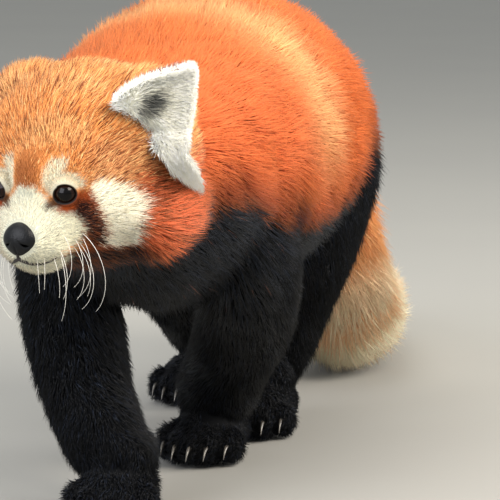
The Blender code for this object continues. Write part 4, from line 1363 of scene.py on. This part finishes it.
@dataclass
class Ear:
    """One ear: a cupped leaf of skin with a pointed fringe below, and hair inside, outside and along its edge."""

    side: int
    root: tuple[float, float, float] = (0.0585, -0.0140, 0.0355)
    top: tuple[float, float, float] = (0.0834, 0.0020, 0.0638)
    outer: tuple[float, float, float] = (0.0769, -0.0040, 0.0186)
    # The way that the fringe is set back, so that it lies along the neck
    away: tuple[float, float, float] = (-0.50, 0.83, -0.27)
    cup: float = 0.003
    tuck: float = 0.012
    thickness: float = 0.0024
    tufts_inside: int = 10000
    tufts_outside: int = 6000
    tufts_edge: int = 3400
    # The dark patch inside, across and up from the root, and its half sizes
    dark_patch: tuple[float, float, float, float] = (-0.0035, 0.0085, 0.0110, 0.0145)
    # How far the patch's edge is scattered among the hairs
    scatter: float = 0.0018
    edge_length: float = 0.0034
    # Where the hair fans out from, across and up: from the ear's foot, and over the hollow from the inner edge
    fan: tuple[float, float] = (0.003, -0.016)
    fan_hollow: tuple[float, float] = (-0.030, -0.014)
    # How far up the outline the fringe ends
    fringe_share: float = 0.30

    def shift(self, by: tuple[float, float, float]) -> None:
        """Moves the ear in the head's own axes, for one that is turned further out than the other."""
        for name in ("root", "top", "outer"):
            setattr(self, name, tuple(np.array(getattr(self, name)) + by))

    def axes(self) -> tuple[np.ndarray, np.ndarray, np.ndarray, np.ndarray]:
        """The ear's root, and the ways up, across and back, in the head's own axes."""
        flip = np.array((self.side, 1, 1))
        root, top, outer = (np.array(place) * flip for place in (self.root, self.top, self.outer))
        tall = unit(top - root)
        wide = outer - root
        wide = unit(wide - tall * (wide @ tall))
        back = np.cross(wide, tall)
        return root, tall, wide, back * (1 if back[1] > 0 else -1)

    def flat(self, across: np.ndarray, share: np.ndarray) -> tuple[np.ndarray, np.ndarray]:
        """Metres across and up from the root, for -1 to 1 across and 0 to 1 from the fringe's point to the tip."""
        rows = np.array(EAR_OUTLINE) * MM
        at = np.linspace(0, 1, len(rows))
        inner_x, inner_y, outer_x, outer_y = (np.interp(share, at, rows[:, column]) for column in range(4))
        out = (across + 1) / 2
        return inner_x + (outer_x - inner_x) * out, inner_y + (outer_y - inner_y) * out

    def fringe(self, share: np.ndarray) -> np.ndarray:
        """How much of the fringe there is at each height."""
        return 1 - ramp(share, self.fringe_share - 0.05, self.fringe_share + 0.09)

    def place(self, across: np.ndarray, share: np.ndarray) -> np.ndarray:
        """Places on the leaf, in the head's own axes.

        Args:
            across: -1 at the inner edge to 1 at the outer one.
            share: 0 at the point of the fringe to 1 at the tip.

        Returns:
            A place for each.
        """
        root, tall, wide, back = self.axes()
        x, y = self.flat(across, share)
        rows = np.array(EAR_OUTLINE) * MM
        drape = np.interp(share, np.linspace(0, 1, len(rows)), rows[:, 4])
        low = np.clip((0.003 - y) / 0.014, 0, 1) ** 1.5
        tucked = self.tuck * low * (1 - ramp(x, 0.004, 0.018))
        hollow = self.cup * (1 - across**2) * ramp(share, self.fringe_share, 0.55) * (1 - ramp(share, 0.55, 1.0)) + tucked
        away = np.array(self.away) * (self.side, 1, 1)
        return root + np.outer(y, tall) + np.outer(x, wide) + np.outer(hollow, back) + np.outer(drape, away)

    def leaf(self) -> tuple[Shape, np.ndarray, np.ndarray]:
        """The leaf's skin as one closed shell, with the across and share of each corner."""
        columns, rows = 29, 49
        across, share = np.meshgrid(np.linspace(-1, 1, columns), np.linspace(0, 1, rows))
        across, share = across.ravel(), share.ravel()
        _, _, _, back = self.axes()
        middle = self.place(across, share)
        thin = self.thickness / 2 * (1 - 0.75 * np.abs(across) ** 6)
        points = np.vstack([middle - np.outer(thin, back), middle + np.outer(thin, back)])
        triangles = []
        count = columns * rows
        for row in range(rows - 1):
            for column in range(columns - 1):
                a = row * columns + column
                b, c, d = a + 1, a + columns + 1, a + columns
                triangles += [(a, b, c), (a, c, d), (count + a, count + c, count + b), (count + a, count + d, count + c)]
        rim = [*range(columns), *range(2 * columns - 1, count, columns)]
        rim += [*range(count - 2, count - columns - 1, -1), *range(count - 2 * columns, 0, -columns)]
        for first, second in zip(rim, rim[1:] + rim[:1]):
            triangles += [(first, count + first, count + second), (first, count + second, second)]
        return Shape(on_head(points), np.array(triangles)).outward(), np.tile(across, 2), np.tile(share, 2)

    def tint(self, x: np.ndarray, y: np.ndarray, front: bool, edge: np.ndarray, markings: Markings) -> np.ndarray:
        """The ear's colours: white inside with a dark patch, rust outside with a white edge.

        Args:
            x: metres across from the root.
            y: metres up from it.
            front: whether this is the hollow side.
            edge: how near the rim each place is, from 0 to 1.
            markings: the coat's colours.

        Returns:
            A linear colour for each.
        """
        white = linear(markings.ear_white) * np.ones((len(x), 1))
        if front:
            centre_x, centre_y, wide, high = self.dark_patch
            dark = 1 - ramp(np.hypot((x - centre_x) / wide, (y - centre_y) / high), 0.25, 1.0)
            return mixed(white, linear(markings.ear_dark), 0.94 * dark)
        return mixed(linear(markings.ear_back) * np.ones((len(x), 1)), white, edge)

    def rim(self, across: np.ndarray, share: np.ndarray) -> np.ndarray:
        """How near the rim each place is."""
        return np.maximum(ramp(np.abs(across), 0.70, 0.90), np.maximum(ramp(share, 0.90, 0.97), self.fringe(share)))

    def face_hair(self, front: bool, count: int, chance: np.random.Generator) -> tuple[np.ndarray, ...]:
        """Roots on one side of the leaf: places, normals, ways, lengths, and where each is seen across and up.

        Args:
            front: whether this is the hollow side.
            count: how many.
            chance: draws them.

        Returns:
            Arrays in that order, then the across and share of each root.
        """
        _, tall, wide, back = self.axes()
        across = chance.uniform(-0.97, 0.97, count)
        share = chance.uniform(0.0, 0.98, count)
        step = 0.01
        places = self.place(across, share)
        slope = self.place(across + step, share) - self.place(across - step, share)
        rise = self.place(across, share + step) - self.place(across, share - step)
        normals = unit(np.cross(slope, rise))
        normals = normals * np.where((normals @ back > 0) == front, -1, 1)[:, None]
        places = places + normals * (self.thickness / 2 - 0.0004)
        x, y = self.flat(across, share)
        lean = unit(np.column_stack([x, y]) - self.fan)
        if front:
            swept = unit(np.column_stack([x, y]) - self.fan_hollow)
            lean = unit(mixed(swept, lean, ramp(-across, 0.25, 0.75)))
        straight = np.outer(lean[:, 0], wide) + np.outer(lean[:, 1], tall)
        fringe = self.fringe(share)
        straight = mixed(straight, self.down(across, share), fringe) + chance.normal(0, 0.12, (count, 3))
        lie = unit(straight - normals * (straight * normals).sum(axis=1, keepdims=True))
        length = COATS[Region.EAR].length * chance.uniform(0.7, 1.25, count)
        near_edge = np.maximum(ramp(share, 0.70, 0.98), ramp(np.abs(across), 0.45, 0.95) * (1 - fringe))
        length *= (1 - 0.55 * near_edge) * (0.6 + 0.4 * ramp(share, 0.0, 0.15))
        seen = np.array([x, y]) + lean.T * length * 0.6 + chance.normal(0, self.scatter, (2, count))
        return places, normals, lie, length, *seen, across, share

    def down(self, across: np.ndarray, share: np.ndarray) -> np.ndarray:
        """The way towards the point of the fringe, along the leaf, and near the point along its middle line."""
        step = 0.04
        first, last = np.maximum(share, step), np.maximum(share - step, 0)
        own = unit(self.place(across, last) - self.place(across, first))
        middle = unit(self.place(0 * across, last) - self.place(0 * across, first))
        return unit(mixed(middle, own, ramp(share, 0.06, 0.24)))

    def edge_hair(self, count: int, chance: np.random.Generator) -> tuple[np.ndarray, ...]:
        """Roots along both edges, short above and drawn to a point below: the same arrays as for a side."""
        _, tall, wide, back = self.axes()
        share = chance.uniform(0.02, 0.99, count)
        side = np.where(chance.random(count) < 0.55, 1.0, -1.0)
        across = side * chance.uniform(0.90, 0.985, count)
        places = self.place(across, share)
        x, y = self.flat(across, share)
        fringe = self.fringe(share)
        out = np.outer(side, wide) + 0.75 * tall
        lean = mixed(unit(out), self.down(across, share) + 0.12 * out, fringe)
        lie = unit(lean + chance.normal(0, 0.10, (count, 3)))
        normals = np.outer(np.ones(count), -back) + np.outer(0.25 * across, wide)
        normals = unit(normals - lie * (normals * lie).sum(axis=1, keepdims=True))
        length = self.edge_length * chance.uniform(0.6, 1.3, count) * (1 + 1.2 * fringe * ramp(share, 0.0, 0.12))
        return places, normals, lie, length, x + 1.0, y, across, share

    def hair(self, markings: Markings) -> Shape:
        """All the ear's tufts as one shape."""
        chance = np.random.default_rng(SEED + 5 + self.side)
        hair = COATS[Region.EAR]
        parts = []
        for front, lift, roots in (
            (True, 1.6 * hair.lift, self.face_hair(True, self.tufts_inside, chance)),
            (False, hair.lift, self.face_hair(False, self.tufts_outside, chance)),
            (True, 0.0006, self.edge_hair(self.tufts_edge, chance)),
        ):
            places, normals, lie, length, x, y, across, share = roots
            count = len(places)
            tint = self.tint(x, y, front, self.rim(across, share), markings)
            grown = Roots(
                on_head(places),
                normals @ HEAD_TURN.T,
                lie @ HEAD_TURN.T,
                length,
                hair.width * chance.uniform(0.75, 1.3, count),
                lift * chance.uniform(0.6, 1.5, count) * (1 + 0.8 * self.fringe(share)),
                np.clip(tint * np.exp(chance.normal(0, 0.08, count))[:, None], 0, 1),
                np.column_stack([0.25 + 0.24 * across + 0.5 * (not front), 0.02 + 0.96 * share]),
            )
            parts.append(tufts(grown, hair.rings, chance, 0.90))
        starts = np.cumsum([0, *(len(part.points) for part in parts)])
        return Shape(
            np.vstack([part.points for part in parts]),
            np.vstack([part.triangles + start for part, start in zip(parts, starts)]),
            np.vstack([part.tint for part in parts]),
            np.vstack([part.unwrap for part in parts]),
        )


@dataclass
class Eye:
    """One eyeball with its cornea, and the lids round it."""

    centre: np.ndarray
    side: int
    head: Head
    opening: tuple[float, float] = (0.0064, 0.0053)
    rim_width: float = 0.0011
    lid_reach: float = 0.0125
    lid_thickness: float = 0.0010
    hair_from: float = 0.24
    hair_length: float = 0.0034
    tufts: int = 2000
    cornea_share: float = 0.62
    cornea_bulge: float = 0.0007

    def axes(self) -> tuple[np.ndarray, np.ndarray, np.ndarray]:
        """The ways that the eye looks, across and up, in the room."""
        look = unit(np.array(self.head.eye_look) * (self.side, 1, 1))
        across = unit(np.cross(look, (0, 0, 1)))
        up = np.cross(across, look)
        return HEAD_TURN @ look, HEAD_TURN @ across * self.side, HEAD_TURN @ up

    def ball(self) -> tuple[Shape, np.ndarray]:
        """The eyeball, bulged over the iris, and how far out from its middle each corner is."""
        look, across, up = self.axes()
        shape = ball((0, 0, 0), (1, 1, 1), 40)
        front = np.clip(shape.points[:, 2], 0, 1)
        ring = np.linalg.norm(shape.points[:, :2], axis=1)
        bulge = self.cornea_bulge / self.head.eye_radius * np.clip(1 - (ring / self.cornea_share) ** 2, 0, 1) * (front > 0)
        points = shape.points * (1 + bulge)[:, None] * self.head.eye_radius
        points = points @ np.array([across, up, look]) + self.centre
        out = np.where(shape.points[:, 2] > 0, ring, 1.0)
        return Shape(points, shape.triangles).outward(), out

    def lids(self, skin: BVHTree) -> tuple[Shape, np.ndarray]:
        """Both lids as one ring of skin, from the rim on the eyeball out to the face, and 0 at the rim to 1 outside."""
        look, across, up = self.axes()
        around, steps = 64, 9
        turn = np.linspace(0, math.tau, around, endpoint=False)
        rows = []
        shares = []
        for step in range(steps + 1):
            share = step / steps
            grow = share**1.3
            wide = self.opening[0] + (self.lid_reach - self.opening[0]) * grow
            high = self.opening[1] + (self.lid_reach * 0.92 - self.opening[1]) * grow
            flat = np.column_stack([wide * np.cos(turn), high * np.sin(turn)])
            droop = 0.0006 * (np.cos(turn) > 0.6) * (1 - share)
            radial = np.hypot(flat[:, 0], flat[:, 1])
            over = self.head.eye_radius + 0.0004 + self.lid_thickness * min(1.0, 6 * share + 0.15)
            height = np.sqrt(np.maximum(over**2 - np.minimum(radial, over * 0.96) ** 2, 0))
            places = self.centre + np.outer(flat[:, 0], across) + np.outer(flat[:, 1] - droop, up) + np.outer(height, look)
            if share > 0.35:
                settle = ramp(np.array([share]), 0.35, 1.0)[0]
                for at, place in enumerate(places):
                    found = skin.find_nearest(Vector(place))
                    target = np.array(found[0]) - np.array(found[1]) * 0.0012 * settle
                    places[at] = place + (target - place) * settle
            rows.append(places)
            shares.append(np.full(around, share))
        inner = self.centre + (rows[0] - self.centre) * 0.90
        rows.insert(0, inner)
        shares.insert(0, np.zeros(around))
        points = np.vstack(rows)
        triangles = []
        for row in range(len(rows) - 1):
            for k in range(around):
                a, b = row * around + k, row * around + (k + 1) % around
                quad = (a, b, b + around, a + around)
                triangles += [(quad[0], quad[1], quad[2]), (quad[0], quad[2], quad[3])]
        faces = np.array(triangles)
        first = points[faces[len(faces) // 2]]
        facing = np.cross(first[1] - first[0], first[2] - first[0]) @ look
        if facing < 0:
            faces = faces[:, ::-1]
        return Shape(points, faces), np.concatenate(shares)

    def hair(self, lids: Shape, share: np.ndarray, markings: Markings) -> Shape:
        """Short tufts over the lids, which grow away from the eye."""
        chance = np.random.default_rng(SEED + 20 + self.side)
        corners = lids.points[lids.triangles]
        area = np.linalg.norm(np.cross(corners[:, 1] - corners[:, 0], corners[:, 2] - corners[:, 0]), axis=1)
        outer = share[lids.triangles].mean(axis=1)
        expected = area * (outer > self.hair_from)
        expected *= self.tufts / expected.sum()
        places, normals = scatter(lids, unit(lids.points - self.centre), expected, chance)
        look = self.axes()[0]
        away = places - self.centre
        away = away - np.outer(away @ look, look)
        lie = unit(unit(away) + chance.normal(0, 0.16, places.shape) + HEAD_TURN @ (0, 0.3, 0))
        lie = unit(lie - normals * (lie * normals).sum(axis=1, keepdims=True))
        far = np.linalg.norm(places - self.centre, axis=1) / self.lid_reach
        count = len(places)
        length = self.hair_length * (0.6 + 0.6 * far) * chance.uniform(0.7, 1.2, count)
        seen = from_head(places + lie * length[:, None] * 0.6)
        tint = markings.face(seen) * np.exp(chance.normal(0, 0.08, count))[:, None]
        roots = Roots(
            places,
            normals,
            lie,
            length,
            np.full(count, 0.0006),
            0.0007 * chance.uniform(0.5, 1.4, count),
            tint,
            eight_sided(unit(from_head(places))),
        )
        return tufts(roots, 1, chance, 0.8)


@dataclass
class Nose:
    """The bare nose pad with its nostrils and the groove between them."""

    head: Head
    rows: int = 72
    nostril: tuple[float, float] = (0.0056, -0.0014)

    def shape(self) -> tuple[Shape, np.ndarray]:
        """The pad, shaped from a ball by pushing its skin, and how far in a nostril each corner is, which the leather
        paints as shade.
        """
        radii = np.array(self.head.nose_radii)
        shape = ball((0, 0, 0), (1, 1, 1), self.rows)
        points = shape.points * radii
        x, y, z = points.T
        front = np.clip(-y / radii[1], 0, 1)
        low, high = np.clip(-z / radii[2], 0, 1), np.clip(z / radii[2], 0, 1)
        points[:, 0] *= 1 - 0.34 * low**1.6 - 0.10 * high**2
        points[:, 1] += 0.0012 * high**2 * front
        pit = np.zeros(len(points))
        for side in (1, -1):
            x_off, z_off = side * x - self.nostril[0], z - self.nostril[1]
            turned = z_off + 0.35 * x_off - 120 * x_off**2
            gap = np.hypot(x_off / 0.0024, turned / 0.0010)
            pit = np.maximum(pit, np.exp(-(gap**2)) * (front > 0.05))
        points[:, 1] += 0.0013 * pit
        groove = np.exp(-((x / 0.0005) ** 2)) * (1 - ramp(z, -0.0030, 0.0))
        points[:, 1] += 0.0007 * groove * front
        return Shape(on_head(points + np.array(self.head.nose)), shape.triangles), ramp(pit, 0.25, 0.7)


@dataclass
class Strands:
    """Tapered round strands along given paths, made by Geometry Nodes: whiskers and claws."""

    name: str
    radius: float
    tip: float
    sides: int
    finish: Finish

    def tree(self) -> bpy.types.NodeTree:
        """Turns the paths into curves that thin towards their ends, and gives them a round skin."""
        tree = bpy.data.node_groups.new(f"{self.name} strands", "GeometryNodeTree")
        face = tree.interface
        face.new_socket("Paths", in_out="INPUT", socket_type="NodeSocketGeometry")
        for label, value in (("Root radius", self.radius), ("Tip radius", self.tip)):
            socket = face.new_socket(label, in_out="INPUT", socket_type="NodeSocketFloat")
            socket.default_value = value
        socket = face.new_socket("Sides", in_out="INPUT", socket_type="NodeSocketInt")
        socket.default_value = self.sides
        face.new_socket("Strands", in_out="OUTPUT", socket_type="NodeSocketGeometry")
        given = node(tree, "NodeGroupInput")
        curve = node(tree, "GeometryNodeMeshToCurve", {"Mesh": given.outputs["Paths"]})
        share = node(tree, "GeometryNodeSplineParameter")
        size = node(
            tree,
            "ShaderNodeMapRange",
            {
                "Value": share.outputs["Factor"],
                "To Min": given.outputs["Root radius"],
                "To Max": given.outputs["Tip radius"],
            },
        )
        sized = node(tree, "GeometryNodeSetCurveRadius", {"Curve": curve.outputs["Curve"], "Radius": size.outputs["Result"]})
        ring = node(tree, "GeometryNodeCurvePrimitiveCircle", {"Resolution": given.outputs["Sides"], "Radius": 1.0})
        skin = node(
            tree,
            "GeometryNodeCurveToMesh",
            {"Curve": sized.outputs["Curve"], "Profile Curve": ring.outputs["Curve"], "Fill Caps": True},
        )
        if "Scale" in skin.inputs:
            tree.links.new(size.outputs["Result"], skin.inputs["Scale"])
        real = node(tree, "GeometryNodeRealizeInstances", {"Geometry": skin.outputs["Mesh"]})
        smooth = node(tree, "GeometryNodeSetShadeSmooth", {"Geometry": real.outputs["Geometry"]})
        dressed = node(tree, "GeometryNodeSetMaterial", {"Geometry": smooth.outputs["Geometry"], "Material": self.finish.material()})
        node(tree, "NodeGroupOutput", {"Strands": dressed.outputs["Geometry"]})
        return tree

    def mesh(self, paths: list[np.ndarray]) -> bpy.types.Mesh:
        """Runs the tree over the paths.

        Args:
            paths: one array of places for each strand, from its root to its tip.

        Returns:
            A plain mesh.
        """
        points = np.vstack(paths)
        edges = []
        start = 0
        for path in paths:
            edges += [(start + k, start + k + 1) for k in range(len(path) - 1)]
            start += len(path)
        source = bpy.data.meshes.new(f"{self.name} paths")
        source.from_pydata([tuple(point) for point in points], edges, [])
        obj = bpy.data.objects.new(f"{self.name} paths", source)
        bpy.context.scene.collection.objects.link(obj)
        modifier = obj.modifiers.new("strands", "NODES")
        tree = self.tree()
        modifier.node_group = tree
        for item in tree.interface.items_tree:
            if item.in_out == "INPUT" and item.name in ("Root radius", "Tip radius", "Sides"):
                value = {"Root radius": self.radius, "Tip radius": self.tip, "Sides": self.sides}[item.name]
                modifier[item.identifier] = value
        bpy.context.view_layer.update()
        mesh = bpy.data.meshes.new_from_object(obj.evaluated_get(bpy.context.evaluated_depsgraph_get()))
        bpy.data.objects.remove(obj)
        return mesh


@dataclass
class Lips:
    """The dark line of the mouth, and the groove that joins it to the nose."""

    head: Head
    radius: float = 0.0011
    proud: float = 0.0004

    def paths(self, skin: BVHTree) -> list[np.ndarray]:
        """One path from the middle of the mouth to each corner, and one up to the nose, on the skin."""
        lines = [[(side * x, z) for x, z in self.head.mouth] for side in (1, -1)]
        lines.append([(0.0, self.head.mouth[0][1]), (0.0, self.head.mouth[0][1] + 0.0032)])
        paths = []
        ahead = Vector(HEAD_TURN @ (0.0, 1.0, 0.0))
        for line in lines:
            knots = np.array(line)
            fine = np.linspace(0, len(knots) - 1, 4 * len(knots))
            places = []
            for at in fine:
                x = np.interp(at, range(len(knots)), knots[:, 0])
                z = np.interp(at, range(len(knots)), knots[:, 1])
                start = Vector(on_head(np.array(((x, -0.12, z),)))[0])
                hit = skin.ray_cast(start, ahead)[0]
                places.append(np.array(hit) - np.array(ahead) * self.proud)
            paths.append(np.array(places))
        return paths


@dataclass
class Whiskers:
    """Long white bristles on both sides of the muzzle, which bend down and back."""

    # Roots across and up on the muzzle, and each whisker's length
    roots: tuple[tuple[float, float, float], ...] = (
        (0.0275, -0.0225, 0.058),
        (0.0270, -0.0255, 0.046),
        (0.0250, -0.0285, 0.052),
        (0.0245, -0.0250, 0.042),
        (0.0225, -0.0310, 0.040),
        (0.0235, -0.0320, 0.034),
        (0.0195, -0.0325, 0.046),
        (0.0200, -0.0290, 0.036),
        (0.0165, -0.0335, 0.030),
        (0.0130, -0.0330, 0.024),
        (0.0095, -0.0335, 0.020),
        (0.0215, -0.0215, 0.040),
    )
    radius: float = 0.00016
    steps: int = 14

    def paths(self, skin: BVHTree) -> list[np.ndarray]:
        """A path for each whisker that leaves the muzzle outwards, falls, and curls back in."""
        chance = np.random.default_rng(SEED + 3)
        paths = []
        ahead = Vector(HEAD_TURN @ (0.0, 1.0, 0.0))
        share = np.linspace(0, 1, self.steps)
        for side in (1, -1):
            for x, z, length in self.roots:
                start = Vector(on_head(np.array(((side * x, -0.12, z),)))[0])
                root = np.array(skin.ray_cast(start, ahead)[0]) + np.array(ahead) * 0.001
                first = -1.50 + 52 * (x - 0.0095) + chance.normal(0, 0.10)
                last = -1.75 - 50 * (x - 0.0095) * chance.uniform(0.5, 1.4)
                angle = first + (last - first) * share
                step = length * chance.uniform(0.78, 1.0) / (self.steps - 1)
                path = np.column_stack([side * np.cos(angle), -0.25 + 0.40 * share, np.sin(angle)])
                path = step * np.cumsum(unit(path), axis=0)
                paths.append(root + np.vstack([np.zeros(3), path[:-1]]) @ HEAD_TURN.T)
        return paths


@dataclass
class Claws:
    """Five grey claws on each foot, curved down from the toes."""

    forms: Forms
    length: float = 0.0108
    radius: float = 0.0017

    def paths(self) -> list[np.ndarray]:
        """A curved path for each claw, from inside its toe to its tip."""
        paths = []
        share = np.linspace(0, 1, 9)
        for name in self.forms.paws:
            frame = np.array(self.forms.paw_frame(name))
            for index in range(self.forms.toes):
                start = self.forms.toe(index) + (0, -0.0095, 0.0010)
                path = np.column_stack(
                    [
                        np.full(9, start[0]),
                        start[1] - self.length * share,
                        start[2] + 0.0016 * np.sin(share * math.pi) - 0.0066 * share**2,
                    ]
                )
                paths.append(path @ frame[:3, :3].T + frame[:3, 3])
        return paths


class Model:
    """Puts every piece on the frame."""

    def __init__(self) -> None:
        """Starts with no pieces."""
        self.count = 0

    def add(self, name: str, mesh: bpy.types.Mesh, finish: Finish, replaced: tuple[str, ...] = ()) -> bpy.types.Object:
        """Makes a finished piece: at the origin, on its body and what it stands for.

        Args:
            name: the piece's name.
            mesh: its mesh, where the sizes put it.
            finish: its surface.
            replaced: CAD nodes that it stands for.

        Returns:
            The object.
        """
        mesh.transform(Matrix.Translation(-Vector(FOOTPRINT)))
        mesh.materials.clear()
        mesh.materials.append(finish.material())
        obj = bpy.data.objects.new(name, mesh)
        bpy.context.scene.collection.objects.link(obj)
        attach(obj, BODY)
        if replaced:
            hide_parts(*replaced)
        self.count += 1
        LOG.info("%s: %d triangles", name, sum(len(face.vertices) - 2 for face in mesh.polygons))
        return obj


@dataclass
class Studio:
    """A pale floor, soft light and the camera at the photograph's angle."""

    azimuth: float = 12.5
    elevation: float = 8.0
    distance: float = 2.0
    lens: float = 232.3
    target: tuple[float, float, float] = (0.0625, -0.2226, 0.152)
    floor_size: float = 12.0
    floor_drop: float = 0.0006

    def camera(self) -> None:
        """The camera, which sees what the photograph shows."""
        data = bpy.data.cameras.new("camera")
        data.sensor_width = 36
        data.lens = self.lens
        data.clip_start = 0.05
        camera = bpy.data.objects.new("camera", data)
        turn, rise = math.radians(self.azimuth), math.radians(self.elevation)
        back = Vector((math.sin(turn) * math.cos(rise), -math.cos(turn) * math.cos(rise), math.sin(rise)))
        camera.location = Vector(self.target) + back * self.distance
        camera.rotation_euler = (-back).to_track_quat("-Z", "Y").to_euler()
        bpy.context.scene.collection.objects.link(camera)
        bpy.context.scene.camera = camera

    def lamp(self, name: str, place: tuple[float, float, float], size: float, power: float, colour: str) -> None:
        """One soft square light that faces the animal."""
        data = bpy.data.lights.new(name, "AREA")
        data.size = size
        data.energy = power
        data.color = linear(colour)
        lamp = bpy.data.objects.new(name, data)
        lamp.location = place
        lamp.rotation_euler = (Vector((0, -0.1, 0.15)) - Vector(place)).to_track_quat("-Z", "Y").to_euler()
        bpy.context.scene.collection.objects.link(lamp)

    def build(self) -> None:
        """Everything round the animal."""
        self.camera()
        self.lamp("key light", (1.10, -0.95, 1.35), 0.7, 27, "#FFF4E6")
        self.lamp("top light", (-0.3, 0.2, 2.2), 1.8, 28, "#FFFBF4")
        self.lamp("fill light", (-1.0, -1.8, 1.1), 1.6, 48, "#F7F8FF")
        self.lamp("side light", (2.0, 0.4, 1.0), 1.4, 52, "#FFF8F0")
        world = bpy.data.worlds.new("studio")
        world.use_nodes = True
        world.node_tree.nodes["Background"].inputs["Color"].default_value = (*linear("#E9ECEE"), 1)
        world.node_tree.nodes["Background"].inputs["Strength"].default_value = 0.80
        bpy.context.scene.view_settings.view_transform = "Standard"
        bpy.context.scene.world = world
        finish = PlainFinish("pale studio floor", "", "#96958F", "#92918C", rough=0.9, grain_mm=60, bump_mm=0.0)
        half = self.floor_size / 2
        points = np.array([(-half, -half, -self.floor_drop), (half, -half, -self.floor_drop),
                           (half, half, -self.floor_drop), (-half, half, -self.floor_drop)])
        mesh = Shape(points, np.array([(0, 1, 2), (0, 2, 3)])).mesh("floor")
        mesh.materials.append(finish.material())
        floor = bpy.data.objects.new("floor", mesh)
        bpy.context.scene.collection.objects.link(floor)


FLESH = (
    "head", "neck", "torso", "foreleg_left", "foreleg_right", "hindleg_left", "hindleg_right", "forepaw_left",
    "forepaw_right", "hindpaw_left", "hindpaw_right", "tail_base", "tail_middle", "tail_tip",
)


def main() -> None:
    """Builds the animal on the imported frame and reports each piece."""
    logging.basicConfig(level=logging.INFO, format="%(message)s")
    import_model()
    forms, head, markings = Forms(), Head(), Markings()
    anatomy = Anatomy(forms, head, markings)
    model = Model()

    skin, normals = forms.skin()
    weights, rows = anatomy.weights(skin.points)
    # Painted shade: the skin is darkened to 0.55 of the coat's colours, as it lies in shadow under the hair
    tint = anatomy.colours(skin.points, weights, rows) * 0.55
    mesh = Shape(skin.points, skin.triangles, tint).mesh("skin")
    tree = BVHTree.FromPolygons(skin.points.tolist(), skin.triangles.tolist())
    model.add("skin", mesh, UNDER_HAIR, FLESH)

    clear = []
    for name, side in (("left", 1), ("right", -1)):
        low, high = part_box(f"eye_{name}")
        centre = np.array((low + high) / 2) + FOOTPRINT
        eye = Eye(centre, side, head)
        shape, ring = eye.ball()
        mesh = shape.mesh(f"eyeball_{name}")
        layer = mesh.attributes.new("ring", "FLOAT", "POINT")
        layer.data.foreach_set("value", ring.astype(np.float32))
        model.add(f"eyeball_{name}", mesh, EYE, (f"eye_{name}",))
        shape, share = eye.lids(tree)
        dark = 1 - ramp(share, 0.10, 0.20)
        lid_tint = mixed(markings.face(from_head(shape.points)) * 0.6, linear("#0B0706"), dark)
        model.add(f"eyelids_{name}", Shape(shape.points, shape.triangles, lid_tint).mesh(f"eyelids_{name}"), FACE_HAIR)
        coat = eye.hair(shape, share, markings)
        model.add(f"coat_eyelids_{name}", coat.mesh(f"coat_eyelids_{name}"), FACE_HAIR)
        clear.append((centre, head.eye_radius + 0.0002))
        ear = Ear(side)
        if side < 0:
            ear.shift(EAR_TURNED_OUT)
        leaf, across, share = ear.leaf()
        places, rim = ear.flat(across, share), ear.rim(across, share)
        front = np.arange(len(across)) < len(across) // 2
        leaf_tint = np.where(
            front[:, None], ear.tint(*places, True, rim, markings), ear.tint(*places, False, rim, markings)
        )
        mesh = Shape(leaf.points, leaf.triangles, leaf_tint * 0.9).mesh(f"ear_skin_{name}")
        model.add(f"ear_skin_{name}", mesh, EAR_HAIR, (f"ear_{name}",))
        model.add(f"coat_ear_{name}", ear.hair(markings).mesh(f"coat_ear_{name}"), EAR_HAIR)

    lips = Lips(head)
    lip_paths = lips.paths(tree)
    strands = Strands("lips", lips.radius, 0.0005, 8, LIP_SKIN)
    model.add("lips", strands.mesh(lip_paths), LIP_SKIN)
    clear += [(place, 0.0015) for path in lip_paths for place in path]
    nose = Nose(head)
    # How far in a nostril each corner is, which the nose leather paints as shade
    shape, pit = nose.shape()
    mesh = shape.mesh("nose_pad")
    layer = mesh.attributes.new(NOSE_LEATHER.painted_pit_shade, "FLOAT", "POINT")
    layer.data.foreach_set("value", pit.astype(np.float32))
    model.add("nose_pad", mesh, NOSE_LEATHER, ("nose",))

    whiskers = Whiskers()
    strands = Strands("whiskers", whiskers.radius, 0.00008, 5, BRISTLE)
    model.add("whiskers", strands.mesh(whiskers.paths(tree)), BRISTLE)
    claws = Claws(forms)
    strands = Strands("claws", claws.radius, 0.00015, 10, CLAW_HORN)
    model.add("claws", strands.mesh(claws.paths()), CLAW_HORN)

    for name, shape, finish in Coat(skin, normals, anatomy, clear).build():
        model.add(name, shape.mesh(name), finish)

    Studio().build()
    LOG.info("%d pieces", model.count)


if __name__ == "__main__":
    main()
